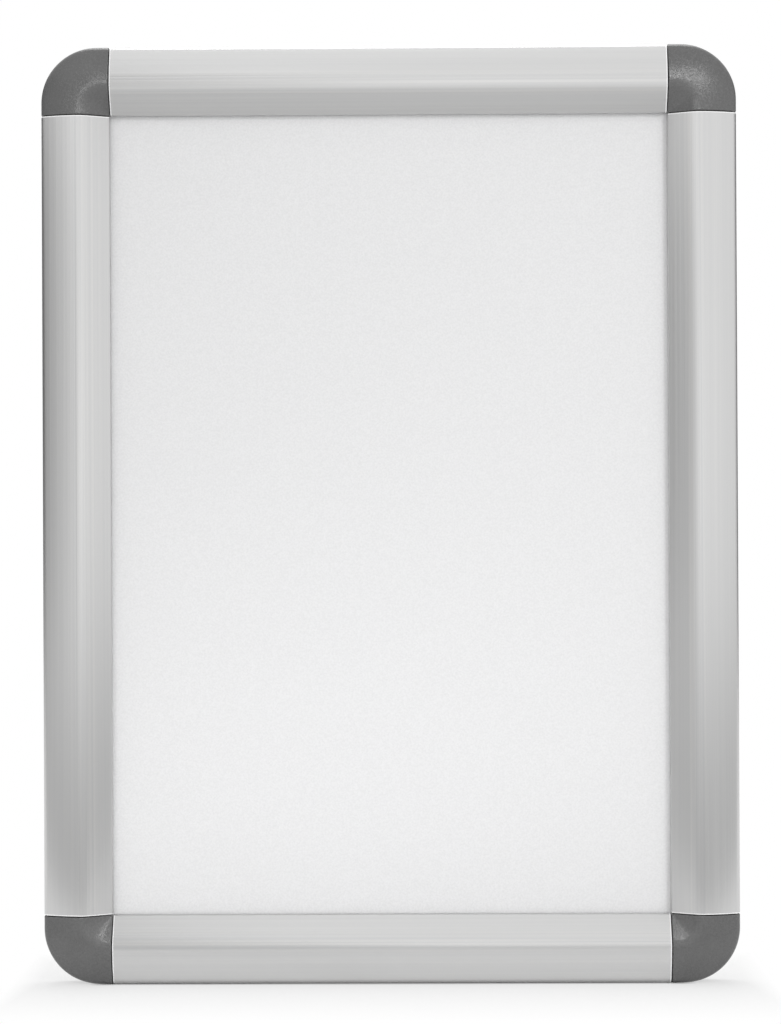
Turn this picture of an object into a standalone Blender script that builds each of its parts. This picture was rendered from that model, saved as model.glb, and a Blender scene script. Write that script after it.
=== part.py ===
"""Poster frame for an A4 sheet: four hinged snap rails, four base rails and four rounded corners.

Metres, +Z up. The origin is the middle of the frame's outline in the plane of the wall behind it, and
the front faces -Y. A section point is (inward, forward): inward from the frame's outer edge towards its
middle, and forward from the wall. A corner is drawn in (across, up, forward) from its own outer corner.
"""

from math import acos, asin, cos, degrees, pi, radians, sin, sqrt

import bmesh
import bpy

# Poster pack
POSTER_WIDTH = 0.2100
POSTER_HEIGHT = 0.2970
POSTER_FIT = 0.0006
BOARD_THICKNESS = 0.0015
SHEET_THICKNESS = 0.0005

# Clearances
GAP = 0.0003
END_GAP = 0.0004
OVERRUN = 0.0010
WELD = 0.000001

# Rail face: its width, the poster edge that it covers, and its run of tangent arcs
FACE_WIDTH = 0.0245
LIP_HOLD = 0.0045
SHOULDER_RADIUS = 0.0025
LIP_RADIUS = 0.0005
LIP_FACE = 0.00215
BROW_END_SHARE = 0.52
CREST_END_SHARE = 0.68
FACE_HEADINGS = (90, 25, 5, -28, -33, -90)
FACE_STEPS = (5, 5, 6, 3, 3)

# Snap rail
SKIN = 0.0012
LIP_DEPTH = 0.0016
LEG_INWARD = 0.0045
LEG_THICKNESS = 0.0011
FOOT_REACH = 0.0011
FOOT_THICKNESS = 0.0008
FOOT_CLEARANCE = 0.0008

# Hinge bead on the snap rail, and the socket on the base rail that it turns in
HINGE_INWARD = 0.0019
HINGE_DROP = 0.00135
BEAD_RADIUS = 0.00095
SOCKET_WALL = 0.0008
EDGE_CLEARANCE = 0.00007
WEB_CLEARANCE = 0.00035
SOCKET_FOOT_ANGLE = -65
BEAD_STEPS = 14
SOCKET_STEPS = 10

# Base rail
FLOOR = 0.0012
FLOOR_SETBACK = 0.0005
BASE_WALL = 0.0012
BASE_WALL_DROP = 0.0022
NECK_DROP = 0.0011
STOP_THICKNESS = 0.0012
STOP_RISE = 0.0009
HOOK_REACH = 0.0012
HOOK_THICKNESS = 0.0008
HOOK_MOUTH = 0.0012
WALL_HOLE_RADIUS = 0.0025

# Leaf springs
SPRING_WIDTH = 0.0250
SPRING_THICKNESS = 0.0005
SPRING_TAB = 0.0015
SPRING_ARCH = 0.0053
SPRING_LEAD = 0.0034
SPRING_HEEL = 0.0020
SPRING_PLACE_SHARE = 0.85
SPRING_STEPS = 12

# Corner pieces
CORNER_RADIUS = 0.0200
CORNER_WALL = 0.0018
CORNER_RIB = 0.0012
CORNER_STEPS = 14
TONGUE_LENGTH = 0.0280
TONGUE_CLEARANCE = 0.0016
TONGUE_THICKNESS = 0.0034
TONGUE_TAPER = 0.0020

# Corner screws
SCREW_INSET = 0.0140
SCREW_RADIUS = 0.00125
SCREW_HEAD_RADIUS = 0.0025
SCREW_HEAD_DEPTH = 0.0012
SCREW_SUNK = 0.0001
SCREW_TIP = 0.0006
RECESS_LENGTH = 0.0026
RECESS_WIDTH = 0.0006
RECESS_DEPTH = 0.0007
ROUND_STEPS = 20

# Worked out from the sizes above
BOARD_BACK = FLOOR + GAP
SHEET_BACK = BOARD_BACK + BOARD_THICKNESS + GAP
LIP_UNDER = SHEET_BACK + SHEET_THICKNESS + GAP
FRAME_WIDTH = POSTER_WIDTH + 2 * (FACE_WIDTH - LIP_HOLD)
FRAME_HEIGHT = POSTER_HEIGHT + 2 * (FACE_WIDTH - LIP_HOLD)
STOP_INNER = FACE_WIDTH - LIP_HOLD - POSTER_FIT
STOP_OUTER = STOP_INNER - STOP_THICKNESS
FLOOR_END = FACE_WIDTH - FLOOR_SETBACK
FOOT_UNDER = FLOOR + FOOT_CLEARANCE
SOCKET_RADIUS = BEAD_RADIUS + GAP
TONGUE_BACK = FLOOR + GAP
CHANNEL_START = LEG_INWARD + LEG_THICKNESS + FOOT_REACH + TONGUE_CLEARANCE
CHANNEL_END = STOP_OUTER - HOOK_REACH - GAP
CHANNEL_MIDDLE = (CHANNEL_START + CHANNEL_END) / 2

COLLECTION_NAME = "poster_frame"
SIDES = {
    "bottom": (0, FRAME_HEIGHT / 2, FRAME_WIDTH - 2 * (FACE_WIDTH + END_GAP)),
    "right": (-90, FRAME_WIDTH / 2, FRAME_HEIGHT - 2 * (FACE_WIDTH + END_GAP)),
    "top": (180, FRAME_HEIGHT / 2, FRAME_WIDTH - 2 * (FACE_WIDTH + END_GAP)),
    "left": (90, FRAME_WIDTH / 2, FRAME_HEIGHT - 2 * (FACE_WIDTH + END_GAP)),
}
CORNERS = {
    "bottom_left": (0, -1, -1),
    "bottom_right": (-90, 1, -1),
    "top_right": (180, 1, 1),
    "top_left": (90, -1, 1),
}
MATERIALS = {
    "anodised_aluminium": ((0.72, 0.72, 0.73), 0.36, 1.0),
    "corner_plastic": ((0.19, 0.19, 0.19), 0.42, 0.0),
    "spring_steel": ((0.46, 0.46, 0.47), 0.30, 1.0),
    "screw_steel": ((0.55, 0.55, 0.55), 0.32, 1.0),
    "white_board": ((0.86, 0.86, 0.85), 0.60, 0.0),
    "matt_cover": ((0.84, 0.85, 0.86), 0.45, 0.0),
}


# Scene set-up


def clear_scene():
    for item in list(bpy.data.objects):
        bpy.data.objects.remove(item, do_unlink=True)


def make_collection(name, hidden=False):
    collection = bpy.data.collections.new(name)
    collection.hide_render = hidden
    bpy.context.scene.collection.children.link(collection)
    return collection


def make_material(name):
    colour, roughness, metallic = MATERIALS[name]
    material = bpy.data.materials.new(name)
    material.use_nodes = True
    shader = material.node_tree.nodes["Principled BSDF"]
    shader.inputs["Base Color"].default_value = (*colour, 1)
    shader.inputs["Roughness"].default_value = roughness
    shader.inputs["Metallic"].default_value = metallic
    return material


# Mesh helpers


def add_object(name, mesh, collection, material=None):
    item = bpy.data.objects.new(name, mesh)
    if material is not None:
        mesh.materials.clear()
        mesh.materials.append(material)
    collection.objects.link(item)
    return item


def add_cutter(name, mesh):
    item = add_object(name, mesh, CUTTERS)
    item.hide_render = True
    item.display_type = "WIRE"
    return item


def baked_mesh(item, name):
    """The object's mesh with its modifiers applied and its caps welded; the object itself is removed."""
    graph = bpy.context.evaluated_depsgraph_get()
    mesh = bpy.data.meshes.new_from_object(item.evaluated_get(graph))
    mesh.name = name
    shape = bmesh.new()
    shape.from_mesh(mesh)
    bmesh.ops.remove_doubles(shape, verts=shape.verts, dist=WELD)
    bmesh.ops.recalc_face_normals(shape, faces=shape.faces)
    shape.to_mesh(mesh)
    shape.free()
    bpy.data.objects.remove(item, do_unlink=True)
    return mesh


def outline_curve(name, points, length, closed=True):
    """A flat outline drawn in X and Y and extruded by its length, half each way along Z."""
    curve = bpy.data.curves.new(name, "CURVE")
    curve.dimensions = "2D"
    curve.fill_mode = "BOTH" if closed else "NONE"
    curve.extrude = length / 2
    spline = curve.splines.new("POLY")
    spline.points.add(len(points) - 1)
    for target, (x, y) in zip(spline.points, points):
        target.co = (x, y, 0, 1)
    spline.use_cyclic_u = closed
    item = bpy.data.objects.new(name, curve)
    bpy.context.scene.collection.objects.link(item)
    return item


def extruded_mesh(name, points, length):
    return baked_mesh(outline_curve(name, points, length), name)


def box_mesh(name, low, high):
    shape = bmesh.new()
    bmesh.ops.create_cube(shape, size=1)
    for vertex in shape.verts:
        shares = [0.5 + value for value in vertex.co]
        vertex.co = [a + (b - a) * share for a, b, share in zip(low, high, shares)]
    mesh = bpy.data.meshes.new(name)
    shape.to_mesh(mesh)
    shape.free()
    return mesh


def corner_box(name, across, up, forward):
    """A box in a corner's own frame, from (low, high) pairs; forward is -Y there."""
    return box_mesh(name, (across[0], -forward[1], up[0]), (across[1], -forward[0], up[1]))


def cylinder_mesh(name, back, front, back_radius, front_radius):
    """A round cutter along -Y, from one forward distance to another."""
    shape = bmesh.new()
    bmesh.ops.create_cone(
        shape,
        cap_ends=True,
        segments=ROUND_STEPS,
        radius1=back_radius,
        radius2=front_radius,
        depth=front - back,
    )
    for vertex in shape.verts:
        across, up, along = vertex.co
        vertex.co = (across, -(back + front) / 2 - along, up)
    mesh = bpy.data.meshes.new(name)
    shape.to_mesh(mesh)
    shape.free()
    return mesh


def add_boolean(item, operation, other):
    modifier = item.modifiers.new(other.name, "BOOLEAN")
    modifier.operation = operation
    modifier.object = other
    return modifier


def shade(mesh, angle=35):
    mesh.shade_smooth()
    mesh.set_sharp_from_angle(angle=radians(angle))


def arc_points(centre, radius, start, end, steps):
    """Points on an arc, from one angle in degrees to another."""
    angles = [radians(start + (end - start) * step / steps) for step in range(steps + 1)]
    return [(centre[0] + radius * cos(a), centre[1] + radius * sin(a)) for a in angles]


# Face of a rail: one run of tangent arcs from the outer edge over the crest to the lip


def arc_radius(run, start, end):
    """Radius of the arc that turns from one heading to another over a run measured inward."""
    return run / (sin(radians(start)) - sin(radians(end)))


def face_arcs():
    """Each arc's centre, radius, first and last heading and steps. A heading of 90 is straight forward."""
    upright, shoulder, brow, slope, lip, down = FACE_HEADINGS
    shoulder_run = SHOULDER_RADIUS * (sin(radians(upright)) - sin(radians(shoulder)))
    lip_run = LIP_RADIUS * (sin(radians(lip)) - sin(radians(down)))
    brow_run = FACE_WIDTH * BROW_END_SHARE - shoulder_run
    crest_run = FACE_WIDTH * (CREST_END_SHARE - BROW_END_SHARE)
    slope_run = FACE_WIDTH * (1 - CREST_END_SHARE) - lip_run
    radii = (
        SHOULDER_RADIUS,
        arc_radius(brow_run, shoulder, brow),
        arc_radius(crest_run, brow, slope),
        arc_radius(slope_run, slope, lip),
        LIP_RADIUS,
    )
    turns = list(zip(FACE_HEADINGS, FACE_HEADINGS[1:], radii, FACE_STEPS))
    rise = sum(r * (cos(radians(end)) - cos(radians(start))) for start, end, r, _ in turns)
    inward, forward = 0.0, LIP_UNDER + LIP_FACE - rise
    arcs = []
    for start, end, radius, steps in turns:
        centre = (inward + radius * sin(radians(start)), forward - radius * cos(radians(start)))
        arcs.append((centre, radius, start, end, steps))
        inward = centre[0] - radius * sin(radians(end))
        forward = centre[1] + radius * cos(radians(end))
    return arcs


FACE_ARCS = face_arcs()
SHOULDER_START = FACE_ARCS[0][0][1]
CREST_HEIGHT = FACE_ARCS[2][0][1] + FACE_ARCS[2][1]
HINGE = (HINGE_INWARD, SHOULDER_START - HINGE_DROP)


def face_line(depth, arcs):
    """Points along the face, or along the surface that lies a depth below it."""
    points = []
    for centre, radius, start, end, steps in arcs:
        line = arc_points(centre, radius - depth, start + 90, end + 90, steps)
        points.extend(line[1:] if points else line)
    return points


def face_height(inward, depth):
    """How far forward the face, or the surface a depth below it, is at one distance from the edge."""
    for centre, radius, start, end, _ in FACE_ARCS:
        r = radius - depth
        if centre[0] - r * sin(radians(end)) >= inward:
            return centre[1] + sqrt(r * r - (inward - centre[0]) ** 2)
    raise ValueError("the face doesn't reach that far inward")


# Sections of the extruded pieces


def snap_rail_outline():
    """Skin, lip, leg with its spring foot, and the web that carries the hinge bead."""
    lip_back = FACE_WIDTH - LIP_DEPTH
    leg_inner = LEG_INWARD + LEG_THICKNESS
    foot_top = FOOT_UNDER + FOOT_THICKNESS
    web = HINGE_INWARD - WEB_CLEARANCE
    edge_under = HINGE[1] + EDGE_CLEARANCE
    under = [point for point in reversed(face_line(SKIN, FACE_ARCS[:-1])) if point[0] > web]
    bead_start = degrees(acos(-WEB_CLEARANCE / BEAD_RADIUS))
    bead_end = -180 - degrees(asin(EDGE_CLEARANCE / BEAD_RADIUS))
    return [
        (0.0, edge_under),
        *face_line(0.0, FACE_ARCS),
        (FACE_WIDTH, LIP_UNDER),
        (lip_back, LIP_UNDER),
        (lip_back, face_height(lip_back, SKIN)),
        *[point for point in under if leg_inner < point[0] < lip_back],
        (leg_inner, face_height(leg_inner, SKIN)),
        (leg_inner, foot_top),
        (leg_inner + FOOT_REACH, foot_top),
        (leg_inner + FOOT_REACH, FOOT_UNDER),
        (LEG_INWARD, FOOT_UNDER),
        (LEG_INWARD, face_height(LEG_INWARD, SKIN)),
        *[point for point in under if point[0] < LEG_INWARD],
        (web, face_height(web, SKIN)),
        *arc_points(HINGE, BEAD_RADIUS, bead_start, bead_end, BEAD_STEPS),
    ]


def base_rail_outline():
    """Floor, outer wall with the hinge socket, and the poster stop with its spring hook."""
    wall_top = HINGE[1] - BASE_WALL_DROP
    hook_under = FLOOR + HOOK_MOUTH
    hook_top = hook_under + HOOK_THICKNESS
    stop_top = LIP_UNDER + STOP_RISE
    hook_tip = STOP_OUTER - HOOK_REACH
    socket_outer = SOCKET_RADIUS + SOCKET_WALL
    return [
        (0.0, 0.0),
        (FLOOR_END, 0.0),
        (FLOOR_END, FLOOR),
        (STOP_INNER, FLOOR),
        (STOP_INNER, stop_top),
        (STOP_OUTER, stop_top),
        (STOP_OUTER, hook_top),
        (hook_tip, hook_top),
        (hook_tip, hook_under),
        (STOP_OUTER, hook_under),
        (STOP_OUTER, FLOOR),
        (BASE_WALL, FLOOR),
        (BASE_WALL, wall_top - NECK_DROP),
        *arc_points(HINGE, socket_outer, SOCKET_FOOT_ANGLE, 90, SOCKET_STEPS),
        *arc_points(HINGE, SOCKET_RADIUS, 90, -90, SOCKET_STEPS),
        (HINGE_INWARD, wall_top),
        (0.0, wall_top),
    ]


def spring_line():
    """Middle line of a leaf spring: a flat tab under the hook, then an arch to the snap rail's foot."""
    middle = SPRING_THICKNESS / 2
    tab_end = STOP_OUTER - GAP - HOOK_REACH - SPRING_TAB
    tab = (STOP_OUTER - GAP, FLOOR + GAP + middle)
    start = (tab_end, tab[1])
    end = (LEG_INWARD + LEG_THICKNESS + GAP + middle, FOOT_UNDER + FOOT_THICKNESS + GAP)
    lead = (start[0] - SPRING_LEAD, start[1])
    heel = (end[0] + SPRING_HEEL, end[1] + SPRING_ARCH)
    points = [tab]
    for step in range(SPRING_STEPS + 1):
        share = step / SPRING_STEPS
        rest = 1 - share
        weights = (rest**3, 3 * rest**2 * share, 3 * rest * share**2, share**3)
        anchors = (start, lead, heel, end)
        points.append(
            tuple(sum(w * anchor[axis] for w, anchor in zip(weights, anchors)) for axis in (0, 1))
        )
    return points


# Placing a piece on one side of the frame


def side_holder(side):
    """An empty at the frame's middle, turned so that its -Z points out through that side."""
    turn = SIDES[side][0]
    holder = bpy.data.objects.new(f"side_{side}", None)
    holder.rotation_euler = (0, radians(turn), 0)
    PARTS.objects.link(holder)
    return holder


def place(item, side, holder, inward=0.0, forward=0.0, along=0.0, drawn="section"):
    """Puts a piece at a section point, and turns a drawn section or an upright round piece to suit."""
    item.parent = holder
    item.location = (along, -forward, inward - SIDES[side][1])
    if drawn == "section":
        item.rotation_euler = (pi, -pi / 2, 0)
    elif drawn == "round":
        item.rotation_euler = (pi / 2, 0, 0)


# Rails and springs


def make_snap_rail(side, holder):
    """The snap rail's origin is on its hinge axis."""
    points = [(x - HINGE[0], y - HINGE[1]) for x, y in snap_rail_outline()]
    mesh = extruded_mesh(f"snap_rail_{side}", points, SIDES[side][2])
    shade(mesh)
    rail = add_object(f"snap_rail_{side}", mesh, PARTS, ALUMINIUM)
    place(rail, side, holder, inward=HINGE[0], forward=HINGE[1])


def screw_places(side):
    """The two corner screws of a side, measured along it from its middle."""
    end = SIDES[side][2] / 2 - SCREW_INSET
    return (-end, end)


def make_base_rail(side, holder):
    mesh = extruded_mesh(f"base_rail_{side}", base_rail_outline(), SIDES[side][2])
    shade(mesh)
    rail = add_object(f"base_rail_{side}", mesh, PARTS, ALUMINIUM)
    place(rail, side, holder)
    wall_hole = cylinder_mesh("wall_hole", -OVERRUN, FLOOR + OVERRUN, WALL_HOLE_RADIUS, WALL_HOLE_RADIUS)
    cutter = add_cutter(f"wall_hole_{side}", wall_hole)
    place(cutter, side, holder, inward=CHANNEL_MIDDLE, drawn="upright")
    add_boolean(rail, "DIFFERENCE", cutter)
    bore_radius = SCREW_RADIUS + GAP
    slope = (SCREW_HEAD_RADIUS - SCREW_RADIUS) / SCREW_HEAD_DEPTH
    mouth_radius = SCREW_HEAD_RADIUS + GAP + slope * OVERRUN
    for number, along in enumerate(screw_places(side), 1):
        sink = cylinder_mesh("screw_sink", -OVERRUN, SCREW_HEAD_DEPTH, mouth_radius, bore_radius)
        bore = cylinder_mesh("screw_bore", -OVERRUN, FLOOR + OVERRUN, bore_radius, bore_radius)
        for name, shape in (("sink", sink), ("bore", bore)):
            cutter = add_cutter(f"screw_{name}_{side}_{number}", shape)
            place(cutter, side, holder, inward=CHANNEL_MIDDLE, along=along, drawn="upright")
            add_boolean(rail, "DIFFERENCE", cutter)


def spring_mesh():
    ribbon = outline_curve("leaf_spring", spring_line(), SPRING_WIDTH, closed=False)
    item = add_object("leaf_spring", baked_mesh(ribbon, "leaf_spring"), CUTTERS)
    thickness = item.modifiers.new("thickness", "SOLIDIFY")
    thickness.thickness = SPRING_THICKNESS
    thickness.offset = 0
    thickness.use_even_offset = True
    mesh = baked_mesh(item, "leaf_spring")
    shade(mesh)
    return mesh


def make_springs(side, holder, mesh):
    """The two springs of a side, between its middle and the corners' tongues."""
    free_run = SIDES[side][2] / 2 - TONGUE_LENGTH - SPRING_WIDTH / 2
    for number, direction in enumerate((-1, 1), 1):
        spring = add_object(f"leaf_spring_{side}_{number}", mesh, PARTS, SPRING_STEEL)
        place(spring, side, holder, along=direction * SPRING_PLACE_SHARE * free_run)


# Corner pieces


def corner_outline(inset):
    """The rounded outline of a corner, from one seam to the other, set in by an inset."""
    centre = (CORNER_RADIUS, CORNER_RADIUS)
    arc = arc_points(centre, CORNER_RADIUS - inset, -90, -180, CORNER_STEPS)
    return [(FACE_WIDTH, inset), *arc, (inset, FACE_WIDTH)]


def fan_mesh(name, inset, bottom, arcs):
    """The rail's section fanned round the corner's inner point, as a closed solid down to its bottom.

    Every ray runs from the outline to that point and carries the section stretched over its length.
    """
    section = face_line(inset, arcs)
    reach = FACE_WIDTH - inset
    shape = bmesh.new()
    tip = shape.verts.new((FACE_WIDTH, -section[-1][1], FACE_WIDTH))
    tip_bottom = shape.verts.new((FACE_WIDTH, -bottom, FACE_WIDTH))
    rays = []
    for across, up in corner_outline(inset):
        ray = [shape.verts.new((across, -bottom, up))]
        for inward, forward in section[:-1]:
            share = (inward - inset) / reach
            place_across = across + (FACE_WIDTH - across) * share
            place_up = up + (FACE_WIDTH - up) * share
            ray.append(shape.verts.new((place_across, -forward, place_up)))
        rays.append(ray)
    for near, far in zip(rays, rays[1:]):
        for row in range(len(near) - 1):
            shape.faces.new((near[row], far[row], far[row + 1], near[row + 1]))
        shape.faces.new((near[-1], far[-1], tip))
    shape.faces.new([*(ray[0] for ray in rays), tip_bottom])
    shape.faces.new([*rays[0], tip, tip_bottom])
    shape.faces.new([*rays[-1], tip, tip_bottom])
    bmesh.ops.recalc_face_normals(shape, faces=shape.faces)
    mesh = bpy.data.meshes.new(name)
    shape.to_mesh(mesh)
    shape.free()
    return mesh


def corner_cavity():
    """The hollow behind a corner's skin: end walls, poster stop and one diagonal rib are left standing."""
    deep = CREST_HEIGHT + OVERRUN
    far = FACE_WIDTH + OVERRUN
    all_forward = (-2 * OVERRUN, deep)
    cavity = add_cutter("corner_cavity", fan_mesh("corner_cavity", CORNER_WALL, -OVERRUN, FACE_ARCS[:-1]))
    end_wall = (FACE_WIDTH - CORNER_WALL, far)
    whole = (-OVERRUN, far)
    stop = (STOP_OUTER, far)
    kept = {
        "end_wall_across": corner_box("end_wall_across", end_wall, whole, all_forward),
        "end_wall_up": corner_box("end_wall_up", whole, end_wall, all_forward),
        "poster_stop": corner_box("poster_stop", stop, stop, all_forward),
    }
    for name, mesh in kept.items():
        add_boolean(cavity, "DIFFERENCE", add_cutter(name, mesh))
    rib = add_cutter(
        "diagonal_rib",
        corner_box("diagonal_rib", (0.0, 2 * far), (-CORNER_RIB / 2, CORNER_RIB / 2), all_forward),
    )
    rib.rotation_euler = (0, radians(-45), 0)
    add_boolean(cavity, "DIFFERENCE", rib)
    return cavity


def tongue_outline():
    """Plan of a tongue in (across, up), with a tapered end that leads it into the base rail."""
    start = FACE_WIDTH - CORNER_WALL / 2
    end = FACE_WIDTH + END_GAP + TONGUE_LENGTH
    near, far = CHANNEL_START, CHANNEL_END
    return [
        (start, near),
        (end - TONGUE_TAPER, near),
        (end, near + TONGUE_TAPER),
        (end, far - TONGUE_TAPER),
        (end - TONGUE_TAPER, far),
        (start, far),
    ]


def corner_mesh():
    """One corner piece: the fanned skin, its pocket for the poster pack, and two tongues."""
    body = add_object("corner_body", fan_mesh("corner_body", 0.0, 0.0, FACE_ARCS), CUTTERS)
    add_boolean(body, "DIFFERENCE", corner_cavity())
    far = FACE_WIDTH + OVERRUN
    pocket = corner_box("pocket", (STOP_INNER, far), (STOP_INNER, far), (FLOOR, LIP_UNDER))
    opening = corner_box(
        "floor_opening", (FLOOR_END, far), (FLOOR_END, far), (-OVERRUN, FLOOR + OVERRUN)
    )
    add_boolean(body, "DIFFERENCE", add_cutter("pocket", pocket))
    add_boolean(body, "DIFFERENCE", add_cutter("floor_opening", opening))
    middle = TONGUE_BACK + TONGUE_THICKNESS / 2
    pilot_ends = (TONGUE_BACK - OVERRUN, TONGUE_BACK + TONGUE_THICKNESS + OVERRUN)
    pilot_radius = SCREW_RADIUS + GAP
    hole_along = FACE_WIDTH + END_GAP + SCREW_INSET
    for number, flip in enumerate((False, True), 1):
        points = [(up, across) if flip else (across, up) for across, up in tongue_outline()]
        tongue = add_cutter(f"tongue_{number}", extruded_mesh("tongue", points, TONGUE_THICKNESS))
        tongue.rotation_euler = (pi / 2, 0, 0)
        tongue.location = (0, -middle, 0)
        add_boolean(body, "UNION", tongue)
        pilot = cylinder_mesh("pilot", *pilot_ends, pilot_radius, pilot_radius)
        hole = add_cutter(f"pilot_{number}", pilot)
        along, across = (CHANNEL_MIDDLE, hole_along) if flip else (hole_along, CHANNEL_MIDDLE)
        hole.location = (along, 0, across)
        add_boolean(body, "DIFFERENCE", hole)
    mesh = baked_mesh(body, "corner")
    shade(mesh)
    return mesh


def make_corners():
    mesh = corner_mesh()
    for name, (turn, right, up) in CORNERS.items():
        corner = add_object(f"corner_{name}", mesh, PARTS, CORNER_PLASTIC)
        corner.location = (right * FRAME_WIDTH / 2, 0, up * FRAME_HEIGHT / 2)
        corner.rotation_euler = (0, radians(turn), 0)


# Corner screws


def screw_mesh():
    """A countersunk screw turned from its profile, with a cross recess in its head."""
    tip = TONGUE_BACK + TONGUE_THICKNESS - GAP
    profile = [
        (0.0, tip),
        (SCREW_RADIUS - SCREW_TIP, tip),
        (SCREW_RADIUS, tip - SCREW_TIP),
        (SCREW_RADIUS, SCREW_SUNK + SCREW_HEAD_DEPTH),
        (SCREW_HEAD_RADIUS, SCREW_SUNK),
        (0.0, SCREW_SUNK),
    ]
    mesh = bpy.data.meshes.new("screw_profile")
    corners = [(radius, 0, height) for radius, height in profile]
    mesh.from_pydata(corners, [(k, k + 1) for k in range(len(corners) - 1)], [])
    item = add_object("screw_profile", mesh, CUTTERS)
    turned = item.modifiers.new("turned", "SCREW")
    turned.steps = ROUND_STEPS
    turned.render_steps = ROUND_STEPS
    turned.use_merge_vertices = True
    turned.merge_threshold = WELD
    solid = add_object("screw_solid", baked_mesh(item, "screw_solid"), CUTTERS)
    long, wide = RECESS_LENGTH / 2, RECESS_WIDTH / 2
    back, front = SCREW_SUNK - OVERRUN, SCREW_SUNK + RECESS_DEPTH
    for number, (x, y) in enumerate(((long, wide), (wide, long)), 1):
        slot = add_cutter(f"recess_{number}", box_mesh("recess", (-x, -y, back), (x, y, front)))
        add_boolean(solid, "DIFFERENCE", slot)
    screw = baked_mesh(solid, "corner_screw")
    shade(screw)
    return screw


def make_screws(side, holder, mesh):
    for number, along in enumerate(screw_places(side), 1):
        screw = add_object(f"corner_screw_{side}_{number}", mesh, PARTS, SCREW_STEEL)
        place(screw, side, holder, inward=CHANNEL_MIDDLE, along=along, drawn="round")


# Poster pack


def make_panel(name, back, thickness, material):
    """A flat panel that lies between the four poster stops."""
    right = FRAME_WIDTH / 2 - STOP_INNER - GAP
    top = FRAME_HEIGHT / 2 - STOP_INNER - GAP
    mesh = box_mesh(name, (-right, -back - thickness, -top), (right, -back, top))
    add_object(name, mesh, PARTS, material)


# The frame, built piece by piece

clear_scene()
PARTS = make_collection(COLLECTION_NAME)
CUTTERS = make_collection("cutters", hidden=True)
ALUMINIUM = make_material("anodised_aluminium")
CORNER_PLASTIC = make_material("corner_plastic")
SPRING_STEEL = make_material("spring_steel")
SCREW_STEEL = make_material("screw_steel")
leaf = spring_mesh()
fastener = screw_mesh()
for side_name in SIDES:
    side_empty = side_holder(side_name)
    make_base_rail(side_name, side_empty)
    make_snap_rail(side_name, side_empty)
    make_springs(side_name, side_empty, leaf)
    make_screws(side_name, side_empty, fastener)
make_corners()
make_panel("backboard", BOARD_BACK, BOARD_THICKNESS, make_material("white_board"))
make_panel("cover_sheet", SHEET_BACK, SHEET_THICKNESS, make_material("matt_cover"))
print(f"frame {FRAME_WIDTH:.4f} x {CREST_HEIGHT:.4f} x {FRAME_HEIGHT:.4f} m")
print(f"hinge axis {HINGE[0]:.6f} m in from the outer edge and {HINGE[1]:.6f} m in front of the wall")
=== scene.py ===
"""Poster frame: fine rails, corners, springs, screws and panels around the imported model, and its stage.

Metres, +Z up; the front faces -Y. A section point is (inward, forward): inward from the frame's outer
edge towards its middle, and forward from the wall. Every rail is modelled as the bottom one and then
turned to its side. The corner is modelled at its own outer corner and copied to the four places.
"""

from collections import namedtuple
from math import acos, asin, atan, ceil, cos, degrees, pi, radians, sin, sqrt

import bmesh
import bpy
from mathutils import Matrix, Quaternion, Vector


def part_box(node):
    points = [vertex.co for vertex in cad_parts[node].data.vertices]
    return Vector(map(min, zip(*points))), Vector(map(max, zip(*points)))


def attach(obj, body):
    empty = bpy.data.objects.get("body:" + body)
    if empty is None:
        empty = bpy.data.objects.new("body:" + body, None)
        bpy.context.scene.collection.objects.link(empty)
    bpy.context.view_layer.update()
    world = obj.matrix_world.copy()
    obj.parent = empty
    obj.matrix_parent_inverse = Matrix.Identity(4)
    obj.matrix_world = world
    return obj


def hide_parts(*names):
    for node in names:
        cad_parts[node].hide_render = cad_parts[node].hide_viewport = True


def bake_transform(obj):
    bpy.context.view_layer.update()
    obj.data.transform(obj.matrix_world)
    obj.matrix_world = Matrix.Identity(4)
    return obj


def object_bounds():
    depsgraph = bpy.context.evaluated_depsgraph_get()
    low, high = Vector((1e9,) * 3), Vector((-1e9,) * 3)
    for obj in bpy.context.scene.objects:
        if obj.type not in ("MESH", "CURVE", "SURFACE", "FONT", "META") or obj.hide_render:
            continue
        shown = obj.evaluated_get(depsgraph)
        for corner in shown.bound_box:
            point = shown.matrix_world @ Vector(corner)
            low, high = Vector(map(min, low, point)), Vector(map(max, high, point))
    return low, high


bl_info = {
    "name": "Poster Frame",
    "version": (1, 0, 0),
    "blender": (4, 5, 0),
    "location": "3D View > Sidebar > Poster Frame",
    "description": "Models a hinged aluminium poster frame, its finishes and its studio stage",
    "category": "Add Mesh",
}

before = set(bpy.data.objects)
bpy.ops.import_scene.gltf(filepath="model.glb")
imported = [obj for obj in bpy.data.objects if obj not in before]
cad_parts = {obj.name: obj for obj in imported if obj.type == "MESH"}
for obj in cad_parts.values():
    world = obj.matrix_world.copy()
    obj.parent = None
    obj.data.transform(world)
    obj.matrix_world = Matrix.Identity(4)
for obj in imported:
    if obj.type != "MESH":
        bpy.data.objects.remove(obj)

# Taken from the loaded frame
CAD_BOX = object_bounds()
HALF_WIDTH = CAD_BOX[1].x
HALF_HEIGHT = CAD_BOX[1].z
RAIL_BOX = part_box("snap_rail_bottom")
FACE_WIDTH = RAIL_BOX[1].z - RAIL_BOX[0].z
END_GAP = HALF_WIDTH - FACE_WIDTH - RAIL_BOX[1].x
SHEET_FRONT = -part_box("cover_sheet")[0].y
SCREW_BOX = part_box("corner_screw_bottom_2")
CHANNEL_MIDDLE = (SCREW_BOX[0].z + SCREW_BOX[1].z) / 2 + HALF_HEIGHT
SCREW_ALONG = (SCREW_BOX[0].x + SCREW_BOX[1].x) / 2
SPRING_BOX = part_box("leaf_spring_bottom_2")
SPRING_WIDTH = SPRING_BOX[1].x - SPRING_BOX[0].x

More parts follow.
